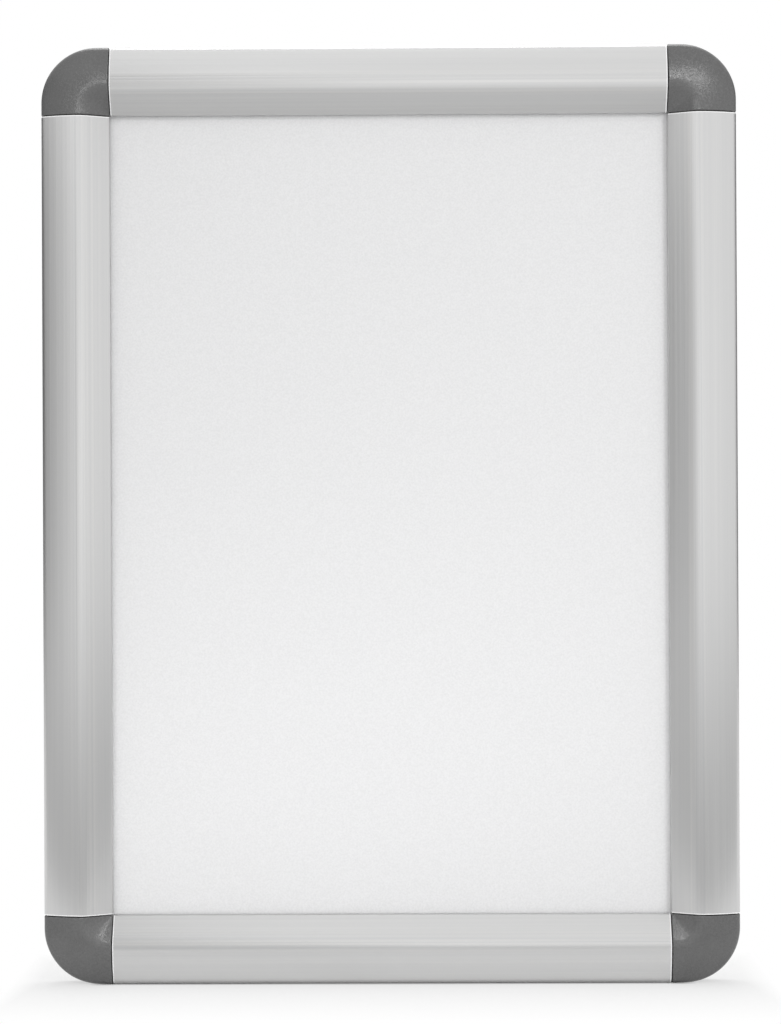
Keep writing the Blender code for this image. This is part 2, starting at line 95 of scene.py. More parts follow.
# Turn of each side and corner about Y, and which way each corner lies from the middle
SIDES = {"bottom": 0, "right": -90, "top": 180, "left": 90}
LEVEL_SIDES = ("bottom", "top")
CORNERS = {
    "bottom_left": (0, -1, -1),
    "bottom_right": (-90, 1, -1),
    "top_right": (180, 1, 1),
    "top_left": (90, -1, 1),
}

# Run of tangent arcs over a rail's face: headings in degrees, and where two of the arcs end
FACE_HEADINGS = (90, 25, 5, -28, -33, -90)
BROW_END_SHARE = 0.52
CREST_END_SHARE = 0.68

# Angle in degrees at which the hinge socket's outer round starts from the wall
SOCKET_START = -65

# Die lines on each rail's face, measured inward from the outer edge
DIE_LINES = {
    "bottom": (0.0151, 0.0162, 0.0186),
    "right": (0.0123,),
    "top": (0.0114, 0.0125),
    "left": (0.0124, 0.0164),
}

# Fineness of the curved forms: turn of a facet in degrees, and numbers of sides, steps and rays
FACET_TURN = 7.5
ROUND_SIDES = 48
SPRING_STEPS = 36
SEAM_STEPS = 4
STRAIGHT_RAYS = 4
ROUND_RAYS = 40

# Faces that meet at less than this angle, in degrees, are shaded as one
SMOOTH_ANGLE = 30

# A rail's end finish lies within the last share of its half length, on faces that lean this much
END_SHARE = 0.98
END_LEAN = 0.2

# Share of the head's depth at which a screw hole's cone ends, taper of a screw's recess, and the
# degrees by which each screw is turned on from the last
CONE_SHARE = 0.9
RECESS_TAPER_SHARE = 0.6
SCREW_TURN = 37

# Streaks on the rails: waves in a metre along and across them, the spread of the broad ones' noise, how
# far they keep their full strength inside and outside the crest, and the fade to the calm share of it.
# The broad streaks' tint is the metal's own tone, made stronger at the crest as painted sheen
FINE_STREAKS = (5, 1600)
BROAD_STREAKS = (1.5, 700)
BROAD_SPREAD = (0.36, 0.64)
STREAKS_INSIDE = 0.001
STREAKS_OUTSIDE = 0.003
STREAK_FADE = 0.003
CALM_SHARE = 0.3
WARM_SHARES = (1.06, 1.055, 1.04)
COOL_SHARES = (0.94, 0.945, 0.945)

# Where the floor's shades start and finish: along Y, and at the corners and sides away from the middle
FLOOR_SIZE = 6
FLOOR_FRONT = (-0.08, -0.012)
FLOOR_CONTACT = (-0.0104, -0.0088)
FLOOR_BACK = (0, 0.06)
FLOOR_CORNERS = (HALF_WIDTH - 0.022, HALF_WIDTH - 0.016)
FLOOR_SIDES = (HALF_WIDTH - 0.01, HALF_WIDTH + 0.012)

# Grey cards: their distance from the frame's middle, height, and the lying card's place over the floor
CARD_DISTANCE = 1.05
CARD_HEIGHT = 1.3
LYING_CARD_FRONT = 0.5
LYING_CARD_OVER_FLOOR = 0.002

TINY = 0.000001
Arc = namedtuple("Arc", "centre radius start end")
Grain = namedtuple("Grain", "scale detail roughness", defaults=(3, 0.5))
Lamp = namedtuple("Lamp", "place size mirrored roll", defaults=(True, 0))


# User values: sizes, colours and stage


def length(name, about, default):
    return bpy.props.FloatProperty(
        name=name, description=about, default=default, min=0.0, precision=5, unit="LENGTH"
    )


def colour(name, about, default):
    return bpy.props.FloatVectorProperty(
        name=name, description=about, default=default, min=0.0, max=1.0, size=3, subtype="COLOR"
    )


def number(name, about, default, **more):
    return bpy.props.FloatProperty(name=name, description=about, default=default, **more)


def offset(name, about, default):
    return number(name, about, default, precision=5, unit="LENGTH")


def power(name, about, default):
    return number(name, about, default, min=0.0, unit="POWER")


class RailSizes(bpy.types.PropertyGroup):
    """Sections of the snap rails and base rails"""

    gap: length("Gap", "Clearance between neighbouring pieces", 0.0003)
    shoulder: length("Shoulder radius", "Radius where the face rolls over at the outer edge", 0.0025)
    lip_radius: length("Lip radius", "Radius where the face rolls down to the sheet", 0.0005)
    lip_face: length("Lip face", "Height of the lip's inner face", 0.00215)
    lip_depth: length("Lip depth", "Thickness of the lip across the frame", 0.0016)
    skin: length("Skin", "Thickness of the snap rail's skin", 0.0012)
    leg_inward: length("Leg place", "Distance of the leg from the outer edge", 0.0045)
    leg: length("Leg", "Thickness of the leg that the springs push", 0.0011)
    foot_reach: length("Foot reach", "How far the leg's foot stands out", 0.0011)
    foot: length("Foot", "Thickness of the leg's foot", 0.0008)
    foot_clearance: length("Foot clearance", "Space under the leg's foot", 0.0008)
    hinge_inward: length("Hinge place", "Distance of the hinge from the outer edge", 0.0019)
    hinge_drop: length("Hinge drop", "How far the hinge lies under the shoulder", 0.00135)
    bead: length("Bead radius", "Radius of the hinge bead", 0.00095)
    socket_wall: length("Socket wall", "Thickness of the socket round the bead", 0.0008)
    edge_clearance: length("Edge clearance", "Drop of the outer edge's underside from the hinge", 0.00007)
    web_clearance: length("Web clearance", "Distance of the bead's web from the hinge", 0.00035)
    floor: length("Floor", "Thickness of the base rail's floor", 0.0012)
    base_wall: length("Base wall", "Thickness of the base rail's outer wall", 0.0012)
    base_wall_drop: length("Base wall drop", "How far the outer wall ends under the hinge", 0.0022)
    neck_drop: length("Neck drop", "Rise of the socket's foot from the outer wall", 0.0011)
    floor_setback: length("Floor setback", "How far the floor ends short of the lip", 0.0005)
    poster_hold: length("Poster hold", "Edge of the poster that the lip covers", 0.0045)
    poster_fit: length("Poster fit", "Free space round the poster", 0.0006)
    stop: length("Poster stop", "Thickness of the poster stop", 0.0012)
    stop_rise: length("Stop rise", "How far the stop stands over the sheet", 0.0009)
    hook_reach: length("Hook reach", "How far the spring hook stands out", 0.0012)
    hook: length("Hook", "Thickness of the spring hook", 0.0008)
    hook_mouth: length("Hook mouth", "Space under the spring hook", 0.0012)
    wall_hole: length("Wall hole radius", "Radius of the hole for a wall screw", 0.0025)
    cut_edge: length("Cut edge", "Width of the chamfer on a snap rail's sawn ends", 0.00038)
    cut_drop: length("Cut drop", "Drop of that chamfer", 0.00016)
    soft_edge: length("Soft edge", "Rounding of the sections' sharp edges", 0.0001)
    die_line: length("Die line depth", "Depth of the fine lines along a rail's face", 0.00005)
    facet: length("Facet", "Longest facet across a rail's section", 0.00024)


class CornerSizes(bpy.types.PropertyGroup):
    """Sizes of the moulded corner pieces"""

    radius: length("Corner radius", "Radius of the frame's outer corner", 0.0200)
    wall: length("Wall", "Thickness of the moulded wall", 0.0018)
    rib: length("Rib", "Thickness of the diagonal rib", 0.0012)
    seam: length("Seam rounding", "Rounding of the edges at the two seams", 0.0003)
    tongue_length: length("Tongue length", "How far a tongue reaches into a base rail", 0.0280)
    tongue_clearance: length("Tongue clearance", "Space between a tongue and the leg's foot", 0.0016)
    tongue: length("Tongue", "Thickness of a tongue", 0.0034)
    tongue_taper: length("Tongue taper", "Lead at a tongue's end", 0.0020)
    tongue_edge: length("Tongue edge", "Rounding of a tongue's long edges", 0.0003)


class SmallPartSizes(bpy.types.PropertyGroup):
    """Sizes of the leaf springs, the corner screws and the panels"""

    spring: length("Spring", "Thickness of a leaf spring", 0.0005)
    spring_tab: length("Spring tab", "Flat end of a spring beyond the hook", 0.0015)
    spring_arch: length("Spring arch", "Rise of the spring's arch", 0.0053)
    spring_lead: length("Spring lead", "How far the arch runs on flat", 0.0034)
    spring_heel: length("Spring heel", "Lean of the arch at the leg", 0.0020)
    screw: length("Screw radius", "Radius over the thread", 0.00125)
    screw_root: length("Screw root", "Radius of the core under the thread", 0.00100)
    screw_pitch: length("Screw pitch", "Distance between the thread's ridges", 0.00050)
    screw_head: length("Screw head radius", "Radius of the countersunk head", 0.0025)
    screw_head_depth: length("Screw head depth", "Height of the head's cone", 0.0012)
    screw_rim: length("Screw rim", "Straight rim of the head", 0.00012)
    screw_sunk: length("Screw sunk", "How far the head lies under the back", 0.0001)
    screw_tip: length("Screw tip", "Lead at the screw's point", 0.0006)
    recess_length: length("Recess length", "Length of the cross recess", 0.0026)
    recess_width: length("Recess width", "Width of the cross recess", 0.0006)
    recess_depth: length("Recess depth", "Depth of the cross recess", 0.0007)
    panel_edge: length("Panel edge", "Rounding of the panels' edges", 0.00015)


class FinishColours(bpy.types.PropertyGroup):
    """Colours of the frame's finishes"""

    aluminium: colour("Aluminium", "Matt silver anodised aluminium", (0.67, 0.67, 0.673))
    # The cut metal's near-white is partly painted glint, which keeps the sawn ends bright as if they caught
    # the light
    cut_metal: colour("Cut metal", "Bare aluminium where the saw went through", (0.95, 0.95, 0.95))
    plastic: colour("Corner plastic", "Mid grey of the moulded corners", (0.118, 0.118, 0.118))
    spring: colour("Spring steel", "Blue-grey of the leaf springs", (0.46, 0.46, 0.47))
    screw: colour("Screw steel", "Zinc on the corner screws", (0.60, 0.60, 0.59))
    board: colour("Backboard", "White face of the backboard", (0.83, 0.83, 0.82))
    sheet: colour("Cover sheet", "Frosted sheet over the white board", (0.80, 0.80, 0.805))


class StageValues(bpy.types.PropertyGroup):
    """Camera, lamps, world and floor"""

    camera_distance: length("Camera distance", "From the wall plane to the camera", 0.957)
    camera_side: offset("Camera side", "How far the camera stands to the right of the middle", 0.011)
    camera_rise: offset("Camera rise", "Height of the camera over the frame's middle", -0.0035)
    aim_side: offset("Aim side", "How far to the right of the middle it looks", 0.00012)
    aim_rise: offset("Aim rise", "Height of the point it looks at over the frame's middle", 0.0008)
    camera_lens: number("Lens", "Focal length on a 36 mm sensor, in millimetres", 92.88)
    camera_roll: number("Roll", "Roll of the camera, in degrees", 0.26)
    key_power: power("Key power", "Power of the soft lamp at the upper right", 17.0)
    gloss_power: power("Gloss power", "Power of the narrow lamp that the corners mirror", 1.3)
    side_power: power("Side power", "Power of the lamp at the right", 0.15)
    rim_power: power("Rim power", "Power of the lamp over and behind the frame", 6.0)
    front_power: power("Front power", "Power of the wide lamp in front", 0.6)
    fill_power: power("Fill power", "Power of the lamp at the upper left", 0.7)
    low_power: power("Low power", "Power of the low lamp that evens out the sheet", 0.075)
    world_level: number("World level", "Light of the room on what it strikes", 0.73, min=0.0)
    floor_lift: number("Floor lift", "Share of plain white in the floor that is seen near the frame", 0.57)
    side_card: number("Side card", "Level of the grey card that the outer faces mirror at the left", 0.37)
    back_card: number("Back card", "Level of the grey cards beside and behind the frame", 0.15)
    right_card: number("Right card", "Level of the light card that the metal mirrors at the right", 0.70)
    floor_card: number("Floor card", "Level of the card that the metal mirrors close to the floor", 0.55)


# Working in edit mode


def deselect_all():
    for item in bpy.context.selected_objects:
        item.select_set(False)


def select_only(item):
    deselect_all()
    item.select_set(True)
    bpy.context.view_layer.objects.active = item


def begin(name, add, **settings):
    """Adds a primitive by its operator, names it and opens it in edit mode with nothing else selected."""
    deselect_all()
    add(**settings)
    item = bpy.context.active_object
    item.name = name
    item.data.name = name
    bpy.ops.object.transform_apply(location=True, rotation=True, scale=True)
    bpy.ops.object.mode_set(mode="EDIT")
    bpy.ops.mesh.select_all(action="SELECT")
    return item


def end():
    bpy.ops.object.mode_set(mode="OBJECT")


def pick(kind, test):
    """In edit mode, selects only the verts, edges or faces that pass a test, and counts them."""
    modes = ("VERT", "EDGE", "FACE")
    bpy.context.tool_settings.mesh_select_mode = [kind == mode for mode in modes]
    mesh = bpy.context.edit_object.data
    shape = bmesh.from_edit_mesh(mesh)
    for part in (*shape.verts, *shape.edges, *shape.faces):
        part.select = False
    candidates = (shape.verts, shape.edges, shape.faces)[modes.index(kind)]
    chosen = [part for part in candidates if test(part)]
    for part in chosen:
        part.select_set(True)
    shape.select_flush_mode()
    bmesh.update_edit_mesh(mesh)
    return len(chosen)


def middle(part):
    return sum((vertex.co for vertex in part.verts), Vector()) / len(part.verts)


def drop_all_but(test):
    """In edit mode, keeps only the verts that pass a test, and leaves them selected."""
    pick("VERT", lambda vertex: not test(vertex))
    bpy.ops.mesh.delete(type="VERT")
    bpy.ops.mesh.select_all(action="SELECT")


def weld():
    """Merges doubles, then turns the faces outwards."""
    bpy.ops.mesh.select_all(action="SELECT")
    bpy.ops.mesh.remove_doubles(threshold=TINY)
    bpy.ops.mesh.select_all(action="SELECT")
    bpy.ops.mesh.normals_make_consistent(inside=False)


def extrude(step):
    bpy.ops.mesh.extrude_region_move(TRANSFORM_OT_translate={"value": step})


def on_plane(axis, place):
    """A test of whether an edge lies in the plane at one place along an axis."""
    return lambda edge: all(abs(vertex.co[axis] - place) < 3 * TINY for vertex in edge.verts)


def cap(test):
    """Closes one flat opening, whose boundary edges pass a test, with a single face."""
    if not pick("EDGE", lambda edge: (edge.is_boundary or edge.is_wire) and test(edge)):
        raise RuntimeError("no boundary edge was found to cap")
    bpy.ops.mesh.edge_face_add()


def check_closed(item):
    shape = bmesh.new()
    shape.from_mesh(item.data)
    open_edges = sum(not edge.is_manifold for edge in shape.edges)
    volume = shape.calc_volume(signed=True)
    shape.free()
    if open_edges or volume <= 0:
        raise RuntimeError(f"{item.name} isn't one closed shape: {open_edges} open edges, volume {volume}")


def apply_modifier(item, kind, **settings):
    select_only(item)
    modifier = item.modifiers.new(kind.lower(), kind)
    for name, value in settings.items():
        setattr(modifier, name, value)
    bpy.ops.object.modifier_apply(modifier=modifier.name)


def cut(item, tool, operation="DIFFERENCE"):
    """Cuts or joins a tool shape, which is then removed."""
    apply_modifier(item, "BOOLEAN", operation=operation, object=tool, solver="MANIFOLD")
    bpy.data.objects.remove(tool, do_unlink=True)


def block(name, low, high):
    """A block between two corners."""
    low, high = Vector(low), Vector(high)
    item = begin(name, bpy.ops.mesh.primitive_cube_add, size=1, location=(low + high) / 2)
    bpy.ops.transform.resize(value=high - low, center_override=(low + high) / 2)
    end()
    return item


def turn_to(item, turn, place=(0, 0, 0)):
    """Turns a finished piece about Y and moves it, and leaves its object at the origin."""
    select_only(item)
    item.rotation_euler = (0, radians(turn), 0)
    item.location = place
    bpy.ops.object.transform_apply(location=True, rotation=True, scale=True)


def copy_piece(item, name):
    """A copy with a mesh of its own."""
    copy = item.copy()
    copy.data = item.data.copy()
    copy.name = name
    copy.data.name = name
    bpy.context.scene.collection.objects.link(copy)
    return copy


def complete(item, *materials):
    """Checks a finished shape, smooths its round faces and gives it its materials."""
    check_closed(item)
    select_only(item)
    bpy.ops.object.shade_smooth_by_angle(angle=radians(SMOOTH_ANGLE))
    item.data.materials.clear()
    for material in materials:
        item.data.materials.append(material)


# Sections as paths of straight runs and arcs


def point_on(arc, angle):
    turn = radians(angle)
    return (arc.centre[0] + arc.radius * cos(turn), arc.centre[1] + arc.radius * sin(turn))


def angle_at(arc, inward):
    return degrees(acos((inward - arc.centre[0]) / arc.radius))


def sunk(arc, depth):
    """The arc that lies a depth below another."""
    return arc._replace(radius=arc.radius - depth)


def begin_edge(name, path, span, run):
    """Opens a new piece in edit mode: an edge along X, at the first point of a section path.

    The section's outer edge lies a span under the origin.
    """
    y, z = -path[0][1], path[0][0] - span
    item = begin(name, bpy.ops.mesh.primitive_plane_add, size=run, location=(0, y + run / 2, z))
    drop_all_but(lambda vertex: vertex.co.y < y + run / 2)
    return item


def carry(path, span, facet):
    """Carries the selection along a section path from its first point, and returns the last point.

    A pair is the end of a straight run, made by an extrude; an arc is made by a spin, whose angle
    runs the other way round than the section's.
    """
    here = path[0]
    for stroke in path[1:]:
        if isinstance(stroke, Arc):
            sweep = stroke.end - stroke.start
            by_length = ceil(stroke.radius * radians(abs(sweep)) / facet)
            steps = max(by_length, ceil(abs(sweep) / FACET_TURN))
            bpy.ops.mesh.spin(
                steps=steps,
                angle=-radians(sweep),
                center=(0, -stroke.centre[1], stroke.centre[0] - span),
                axis=(1, 0, 0),
                use_auto_merge=False,
            )
            here = point_on(stroke, stroke.end)
        else:
            extrude((0, here[1] - stroke[1], stroke[0] - here[0]))
            here = stroke
    return here


def face_arcs(rails):
    """The face's five arcs, from the outer edge over the crest to the lip's inner face."""
    upright, shoulder, brow, slope, lip, down = FACE_HEADINGS
    shoulder_run = rails.shoulder * (sin(radians(upright)) - sin(radians(shoulder)))
    lip_run = rails.lip_radius * (sin(radians(lip)) - sin(radians(down)))
    runs = (
        shoulder_run,
        FACE_WIDTH * BROW_END_SHARE - shoulder_run,
        FACE_WIDTH * (CREST_END_SHARE - BROW_END_SHARE),
        FACE_WIDTH * (1 - CREST_END_SHARE) - lip_run,
        lip_run,
    )
    turns = [
        (start, finish, run / (sin(radians(start)) - sin(radians(finish))))
        for start, finish, run in zip(FACE_HEADINGS, FACE_HEADINGS[1:], runs)
    ]
    rise = sum(radius * (cos(radians(finish)) - cos(radians(start))) for start, finish, radius in turns)
    inward, forward = 0.0, lip_under(rails) + rails.lip_face - rise
    arcs = []
    for start, finish, radius in turns:
        centre = (inward + radius * sin(radians(start)), forward - radius * cos(radians(start)))
        arcs.append(Arc(centre, radius, start + 90, finish + 90))
        inward, forward = point_on(arcs[-1], finish + 90)
    return arcs


def lip_under(rails):
    return SHEET_FRONT + rails.gap


def poster_stop(rails):
    """How far inward the poster stop's outer and inner faces lie."""
    inner = FACE_WIDTH - rails.poster_hold - rails.poster_fit
    return inner - rails.stop, inner


def leg_foot(rails):
    """The leg's inner face, and the underside and top of its foot."""
    under = rails.floor + rails.foot_clearance
    return rails.leg_inward + rails.leg, under, under + rails.foot


def hinge(rails):
    return (rails.hinge_inward, face_arcs(rails)[0].centre[1] - rails.hinge_drop)


def face_height(rails, inward):
    """The face's height at one distance from the outer edge, and the way that it faces there."""
    for arc in face_arcs(rails):
        if point_on(arc, arc.end)[0] >= inward:
            angle = angle_at(arc, inward)
            return point_on(arc, angle)[1], angle
    raise ValueError("the face doesn't reach that far inward")


def snap_rail_path(rails):
    """Skin, lip, leg with its spring foot, and the web that carries the hinge bead."""
    shoulder, brow, crest, slope, lip = face_arcs(rails)
    under_shoulder, under_brow, under_crest, under_slope = [
        sunk(arc, rails.skin) for arc in (shoulder, brow, crest, slope)
    ]
    axis = hinge(rails)
    lip_back = FACE_WIDTH - rails.lip_depth
    leg_outer = rails.leg_inward
    leg_inner, foot_under, foot_top = leg_foot(rails)
    web = rails.hinge_inward - rails.web_clearance
    edge_under = axis[1] + rails.edge_clearance
    bead_start = degrees(acos(-rails.web_clearance / rails.bead))
    bead_end = -180 - degrees(asin(rails.edge_clearance / rails.bead))
    bead = Arc(axis, rails.bead, bead_start, bead_end)
    lip_angle = angle_at(under_slope, lip_back)
    inner_angle = angle_at(under_brow, leg_inner)
    outer_angle = angle_at(under_brow, leg_outer)
    return [
        (0.0, edge_under),
        (0.0, shoulder.centre[1]),
        shoulder,
        brow,
        crest,
        slope,
        lip,
        (FACE_WIDTH, lip_under(rails)),
        (lip_back, lip_under(rails)),
        point_on(under_slope, lip_angle),
        under_slope._replace(start=lip_angle, end=slope.start),
        under_crest._replace(start=crest.end, end=crest.start),
        under_brow._replace(start=brow.end, end=inner_angle),
        (leg_inner, foot_top),
        (leg_inner + rails.foot_reach, foot_top),
        (leg_inner + rails.foot_reach, foot_under),
        (leg_outer, foot_under),
        point_on(under_brow, outer_angle),
        under_brow._replace(start=outer_angle, end=brow.start),
        under_shoulder._replace(start=shoulder.end, end=angle_at(under_shoulder, web)),
        point_on(bead, bead_start),
        bead,
        (0.0, edge_under),
    ]


def base_rail_path(rails):
    """Floor, poster stop with its spring hook, outer wall and the hinge socket on it."""
    axis = hinge(rails)
    floor_end = FACE_WIDTH - rails.floor_setback
    stop_outer, stop_inner = poster_stop(rails)
    stop_top = lip_under(rails) + rails.stop_rise
    hook_under = rails.floor + rails.hook_mouth
    hook_top = hook_under + rails.hook
    hook_tip = stop_outer - rails.hook_reach
    wall_top = axis[1] - rails.base_wall_drop
    bore = rails.bead + rails.gap
    outside = Arc(axis, bore + rails.socket_wall, SOCKET_START, 90)
    inside = Arc(axis, bore, 90, -90)
    return [
        (0.0, 0.0),
        (floor_end, 0.0),
        (floor_end, rails.floor),
        (stop_inner, rails.floor),
        (stop_inner, stop_top),
        (stop_outer, stop_top),
        (stop_outer, hook_top),
        (hook_tip, hook_top),
        (hook_tip, hook_under),
        (stop_outer, hook_under),
        (stop_outer, rails.floor),
        (rails.base_wall, rails.floor),
        (rails.base_wall, wall_top - rails.neck_drop),
        point_on(outside, outside.start),
        outside,
        point_on(inside, inside.start),
        inside,
        (rails.hinge_inward, wall_top),
        (0.0, wall_top),
        (0.0, 0.0),
    ]


# Rails


def half_span(side):
    return HALF_HEIGHT if side in LEVEL_SIDES else HALF_WIDTH


def rail_length(side):
    low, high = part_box(f"snap_rail_{side}")
    return max(high.x - low.x, high.z - low.z)


def swept_rail(name, path, side, rails):
    """Opens a new rail in edit mode: an edge of its length, carried round its section and welded."""
    item = begin_edge(name, path, half_span(side), rail_length(side))
    last = carry(path, half_span(side), rails.facet)
    if max(abs(a - b) for a, b in zip(last, path[0])) > TINY:
        raise RuntimeError(f"the section of {name} doesn't close")
    weld()
    return item


def soften_edges(width):
    bpy.ops.mesh.select_all(action="DESELECT")
    bpy.context.tool_settings.mesh_select_mode = (False, True, False)
    bpy.ops.mesh.edges_select_sharp(sharpness=radians(40))
    bpy.ops.mesh.bevel(offset=width, segments=2, affect="EDGES", clamp_overlap=False)


def press_die_lines(side, rails):
    """Sinks the long edge of the face that is nearest to each die line."""
    span = half_span(side)
    for inward in DIE_LINES[side]:
        forward, angle = face_height(rails, inward)
        target = Vector((0, -forward, inward - span))

        def distance(edge):
            return (middle(edge) - target).length

        shape = bmesh.from_edit_mesh(bpy.context.edit_object.data)
        nearest = min(distance(edge) for edge in shape.edges)
        pick("EDGE", lambda edge: distance(edge) < nearest + TINY)
        step = (0, rails.die_line * sin(radians(angle)), -rails.die_line * cos(radians(angle)))
        bpy.ops.transform.translate(value=step)


def on_face(vertex, span, rails):
    """Whether a vertex lies on the rail's outer face, from the shoulder's foot to the lip's inner face."""
    inward, forward = vertex.co.z + span, -vertex.co.y
    if inward < TINY or inward > FACE_WIDTH - TINY:
        return True
    near = 3 * rails.die_line
    return forward > lip_under(rails) + near and abs(forward - face_height(rails, inward)[0]) < near


def cap_ends(run):
    for end_side in (-1, 1):
        cap(on_plane(0, end_side * run / 2))


def set_end_finish(item):
    """Gives the sawn ends, and the chamfers round them, the second finish."""
    half = max(vertex.co.x for vertex in item.data.vertices)
    for face in item.data.polygons:
        if abs(face.normal.x) > END_LEAN and abs(face.center.x) > half * END_SHARE:
            face.material_index = 1


def make_snap_rail(side, context):
    rails = context.scene.frame_rails
    run, span = rail_length(side), half_span(side)
    item = swept_rail(f"{side}_snap_rail", snap_rail_path(rails), side, rails)
    press_die_lines(side, rails)
    soften_edges(rails.soft_edge)
    for end_side in (-1, 1):
        bpy.ops.mesh.select_all(action="SELECT")
        bpy.ops.mesh.bisect(plane_co=(end_side * (run / 2 - rails.cut_edge), 0, 0), plane_no=(1, 0, 0))
    pick("VERT", lambda vertex: abs(vertex.co.x) > run / 2 - TINY and on_face(vertex, span, rails))
    bpy.ops.transform.shrink_fatten(value=-rails.cut_drop)
    cap_ends(run)
    end()
    complete(item, anodised_finish(side, context), cut_finish(context))
    set_end_finish(item)
    turn_to(item, SIDES[side])
    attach(item, f"{side}_snap")
    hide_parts(f"snap_rail_{side}")


def turned(name, profile):
    """A closed round piece along the depth of the frame, from its (radius, forward) steps."""
    radius, here = profile[0]
    item = begin(
        name,
        bpy.ops.mesh.primitive_circle_add,
        vertices=ROUND_SIDES,
        radius=radius,
        fill_type="NGON",
        location=(0, -here, 0),
        rotation=(pi / 2, 0, 0),
    )
    for wide, place in profile[1:]:
        extrude((0, here - place, 0))
        bpy.ops.transform.resize(value=(wide / radius, 1, wide / radius), center_override=(0, -place, 0))
        radius, here = wide, place
    weld()
    end()
    check_closed(item)
    return item


def drill(item, profile, across, up):
    """Drills a turned hole through a piece, at one place on it."""
    tool = turned("drill", profile)
    turn_to(tool, 0, (across, 0, up))
    cut(item, tool)


def wall_hole_profile(rails):
    """A straight hole through the floor with both rims broken."""
    over, edge, radius = rails.floor, rails.soft_edge, rails.wall_hole
    return [
        (radius + edge + over, -over),
        (radius, edge),
        (radius, rails.floor - edge),
        (radius + edge + over, rails.floor + over),
    ]


def screw_hole_profile(rails, small):
    """A countersunk hole through the floor."""
    over = rails.floor
    bore = small.screw + rails.gap
    slope = (small.screw_head - small.screw) / small.screw_head_depth
    mouth = small.screw_head + rails.gap + slope * over
    sink = small.screw_head_depth * CONE_SHARE
    return [(mouth, -over), (bore + slope * (small.screw_head_depth - sink), sink), (bore, 2 * over)]


def make_base_rail(side, context):
    rails, small = context.scene.frame_rails, context.scene.frame_small_parts
    run, span = rail_length(side), half_span(side)
    item = swept_rail(f"{side}_base_rail", base_rail_path(rails), side, rails)
    soften_edges(rails.soft_edge)
    cap_ends(run)
    end()
    check_closed(item)
    drill(item, wall_hole_profile(rails), 0, CHANNEL_MIDDLE - span)
    for along in screw_places(side):
        drill(item, screw_hole_profile(rails, small), along, CHANNEL_MIDDLE - span)
    complete(item, anodised_finish(side, context), cut_finish(context))
    set_end_finish(item)
    turn_to(item, SIDES[side])
    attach(item, "frame")
    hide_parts(f"base_rail_{side}")


def screw_places(side):
    """The two corner screws of a side, measured along it from its middle."""
    inset = RAIL_BOX[1].x - SCREW_ALONG
    along = rail_length(side) / 2 - inset
    return (-along, along)


# Leaf springs


def spring_path(rails, small):
    """Middle line of a leaf spring: a flat tab under the hook, then an arch to the snap rail's foot."""
    half = small.spring / 2
    stop_outer, _ = poster_stop(rails)
    leg_inner, _, foot_top = leg_foot(rails)
    level = rails.floor + rails.gap + half
    tab = (stop_outer - rails.gap, level)
    start = (stop_outer - rails.gap - rails.hook_reach - small.spring_tab, level)
    heel_end = (leg_inner + rails.gap + half, foot_top + rails.gap)
    lead = (start[0] - small.spring_lead, level)
    heel = (heel_end[0] + small.spring_heel, heel_end[1] + small.spring_arch)
    points = [tab]
    anchors = (start, lead, heel, heel_end)
    for step in range(SPRING_STEPS + 1):
        share = step / SPRING_STEPS
        rest = 1 - share
        weights = (rest**3, 3 * rest**2 * share, 3 * rest * share**2, share**3)
        points.append(tuple(sum(w * anchor[axis] for w, anchor in zip(weights, anchors)) for axis in (0, 1)))
    return points


def make_springs(context):
    """One leaf spring, copied to the eight places."""
    rails, small = context.scene.frame_rails, context.scene.frame_small_parts
    path = spring_path(rails, small)
    master = begin_edge("leaf_spring", path, 0, SPRING_WIDTH)
    carry(path, 0, rails.facet)
    weld()
    end()
    apply_modifier(master, "SOLIDIFY", thickness=small.spring, offset=0, use_even_offset=True)
    apply_modifier(
        master, "BEVEL", width=small.spring / 6, segments=2, limit_method="ANGLE", angle_limit=radians(60)
    )
    complete(master, spring_finish(context))
    for side, turn in SIDES.items():
        for count, direction in enumerate((-1, 1), 1):
            name = f"leaf_spring_{side}_{count}"
            centre = sum(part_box(name), Vector()) / 2
            along = abs(centre.x) if side in LEVEL_SIDES else abs(centre.z)
            spring = copy_piece(master, f"{side}_leaf_spring_{count}")
            turn_to(spring, 0, (direction * along, 0, -half_span(side)))
            turn_to(spring, turn)
            bend_spring(spring)
            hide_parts(name)
    bpy.data.objects.remove(master, do_unlink=True)


def bend_spring(spring):
    """Bakes the spring's turn and place into its mesh."""
    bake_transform(spring)


# Corner pieces


def reach(angle, inset, corner, centre):
    """Distance from a corner's inner point to its rounded outline, at a plan angle in degrees."""
    across, up = sin(radians(angle)), cos(radians(angle))
    straight = (centre - inset) / max(across, up)
    if centre - straight * min(across, up) >= corner.radius:
        return straight
    lean = (centre - corner.radius) * (across + up)
    rest = 2 * (centre - corner.radius) ** 2 - (corner.radius - inset) ** 2
    return lean + sqrt(lean**2 - rest)


def fan_angles(inset, corner, centre):
    """Plan angles of the rays, with one where each straight run meets the round."""
    meet = degrees(atan((centre - corner.radius) / (centre - inset)))
    first = [meet * step / STRAIGHT_RAYS for step in range(STRAIGHT_RAYS)]
    arc = [meet + (90 - 2 * meet) * step / ROUND_RAYS for step in range(ROUND_RAYS)]
    last = [90 - meet + meet * step / STRAIGHT_RAYS for step in range(STRAIGHT_RAYS + 1)]
    return first + arc + last


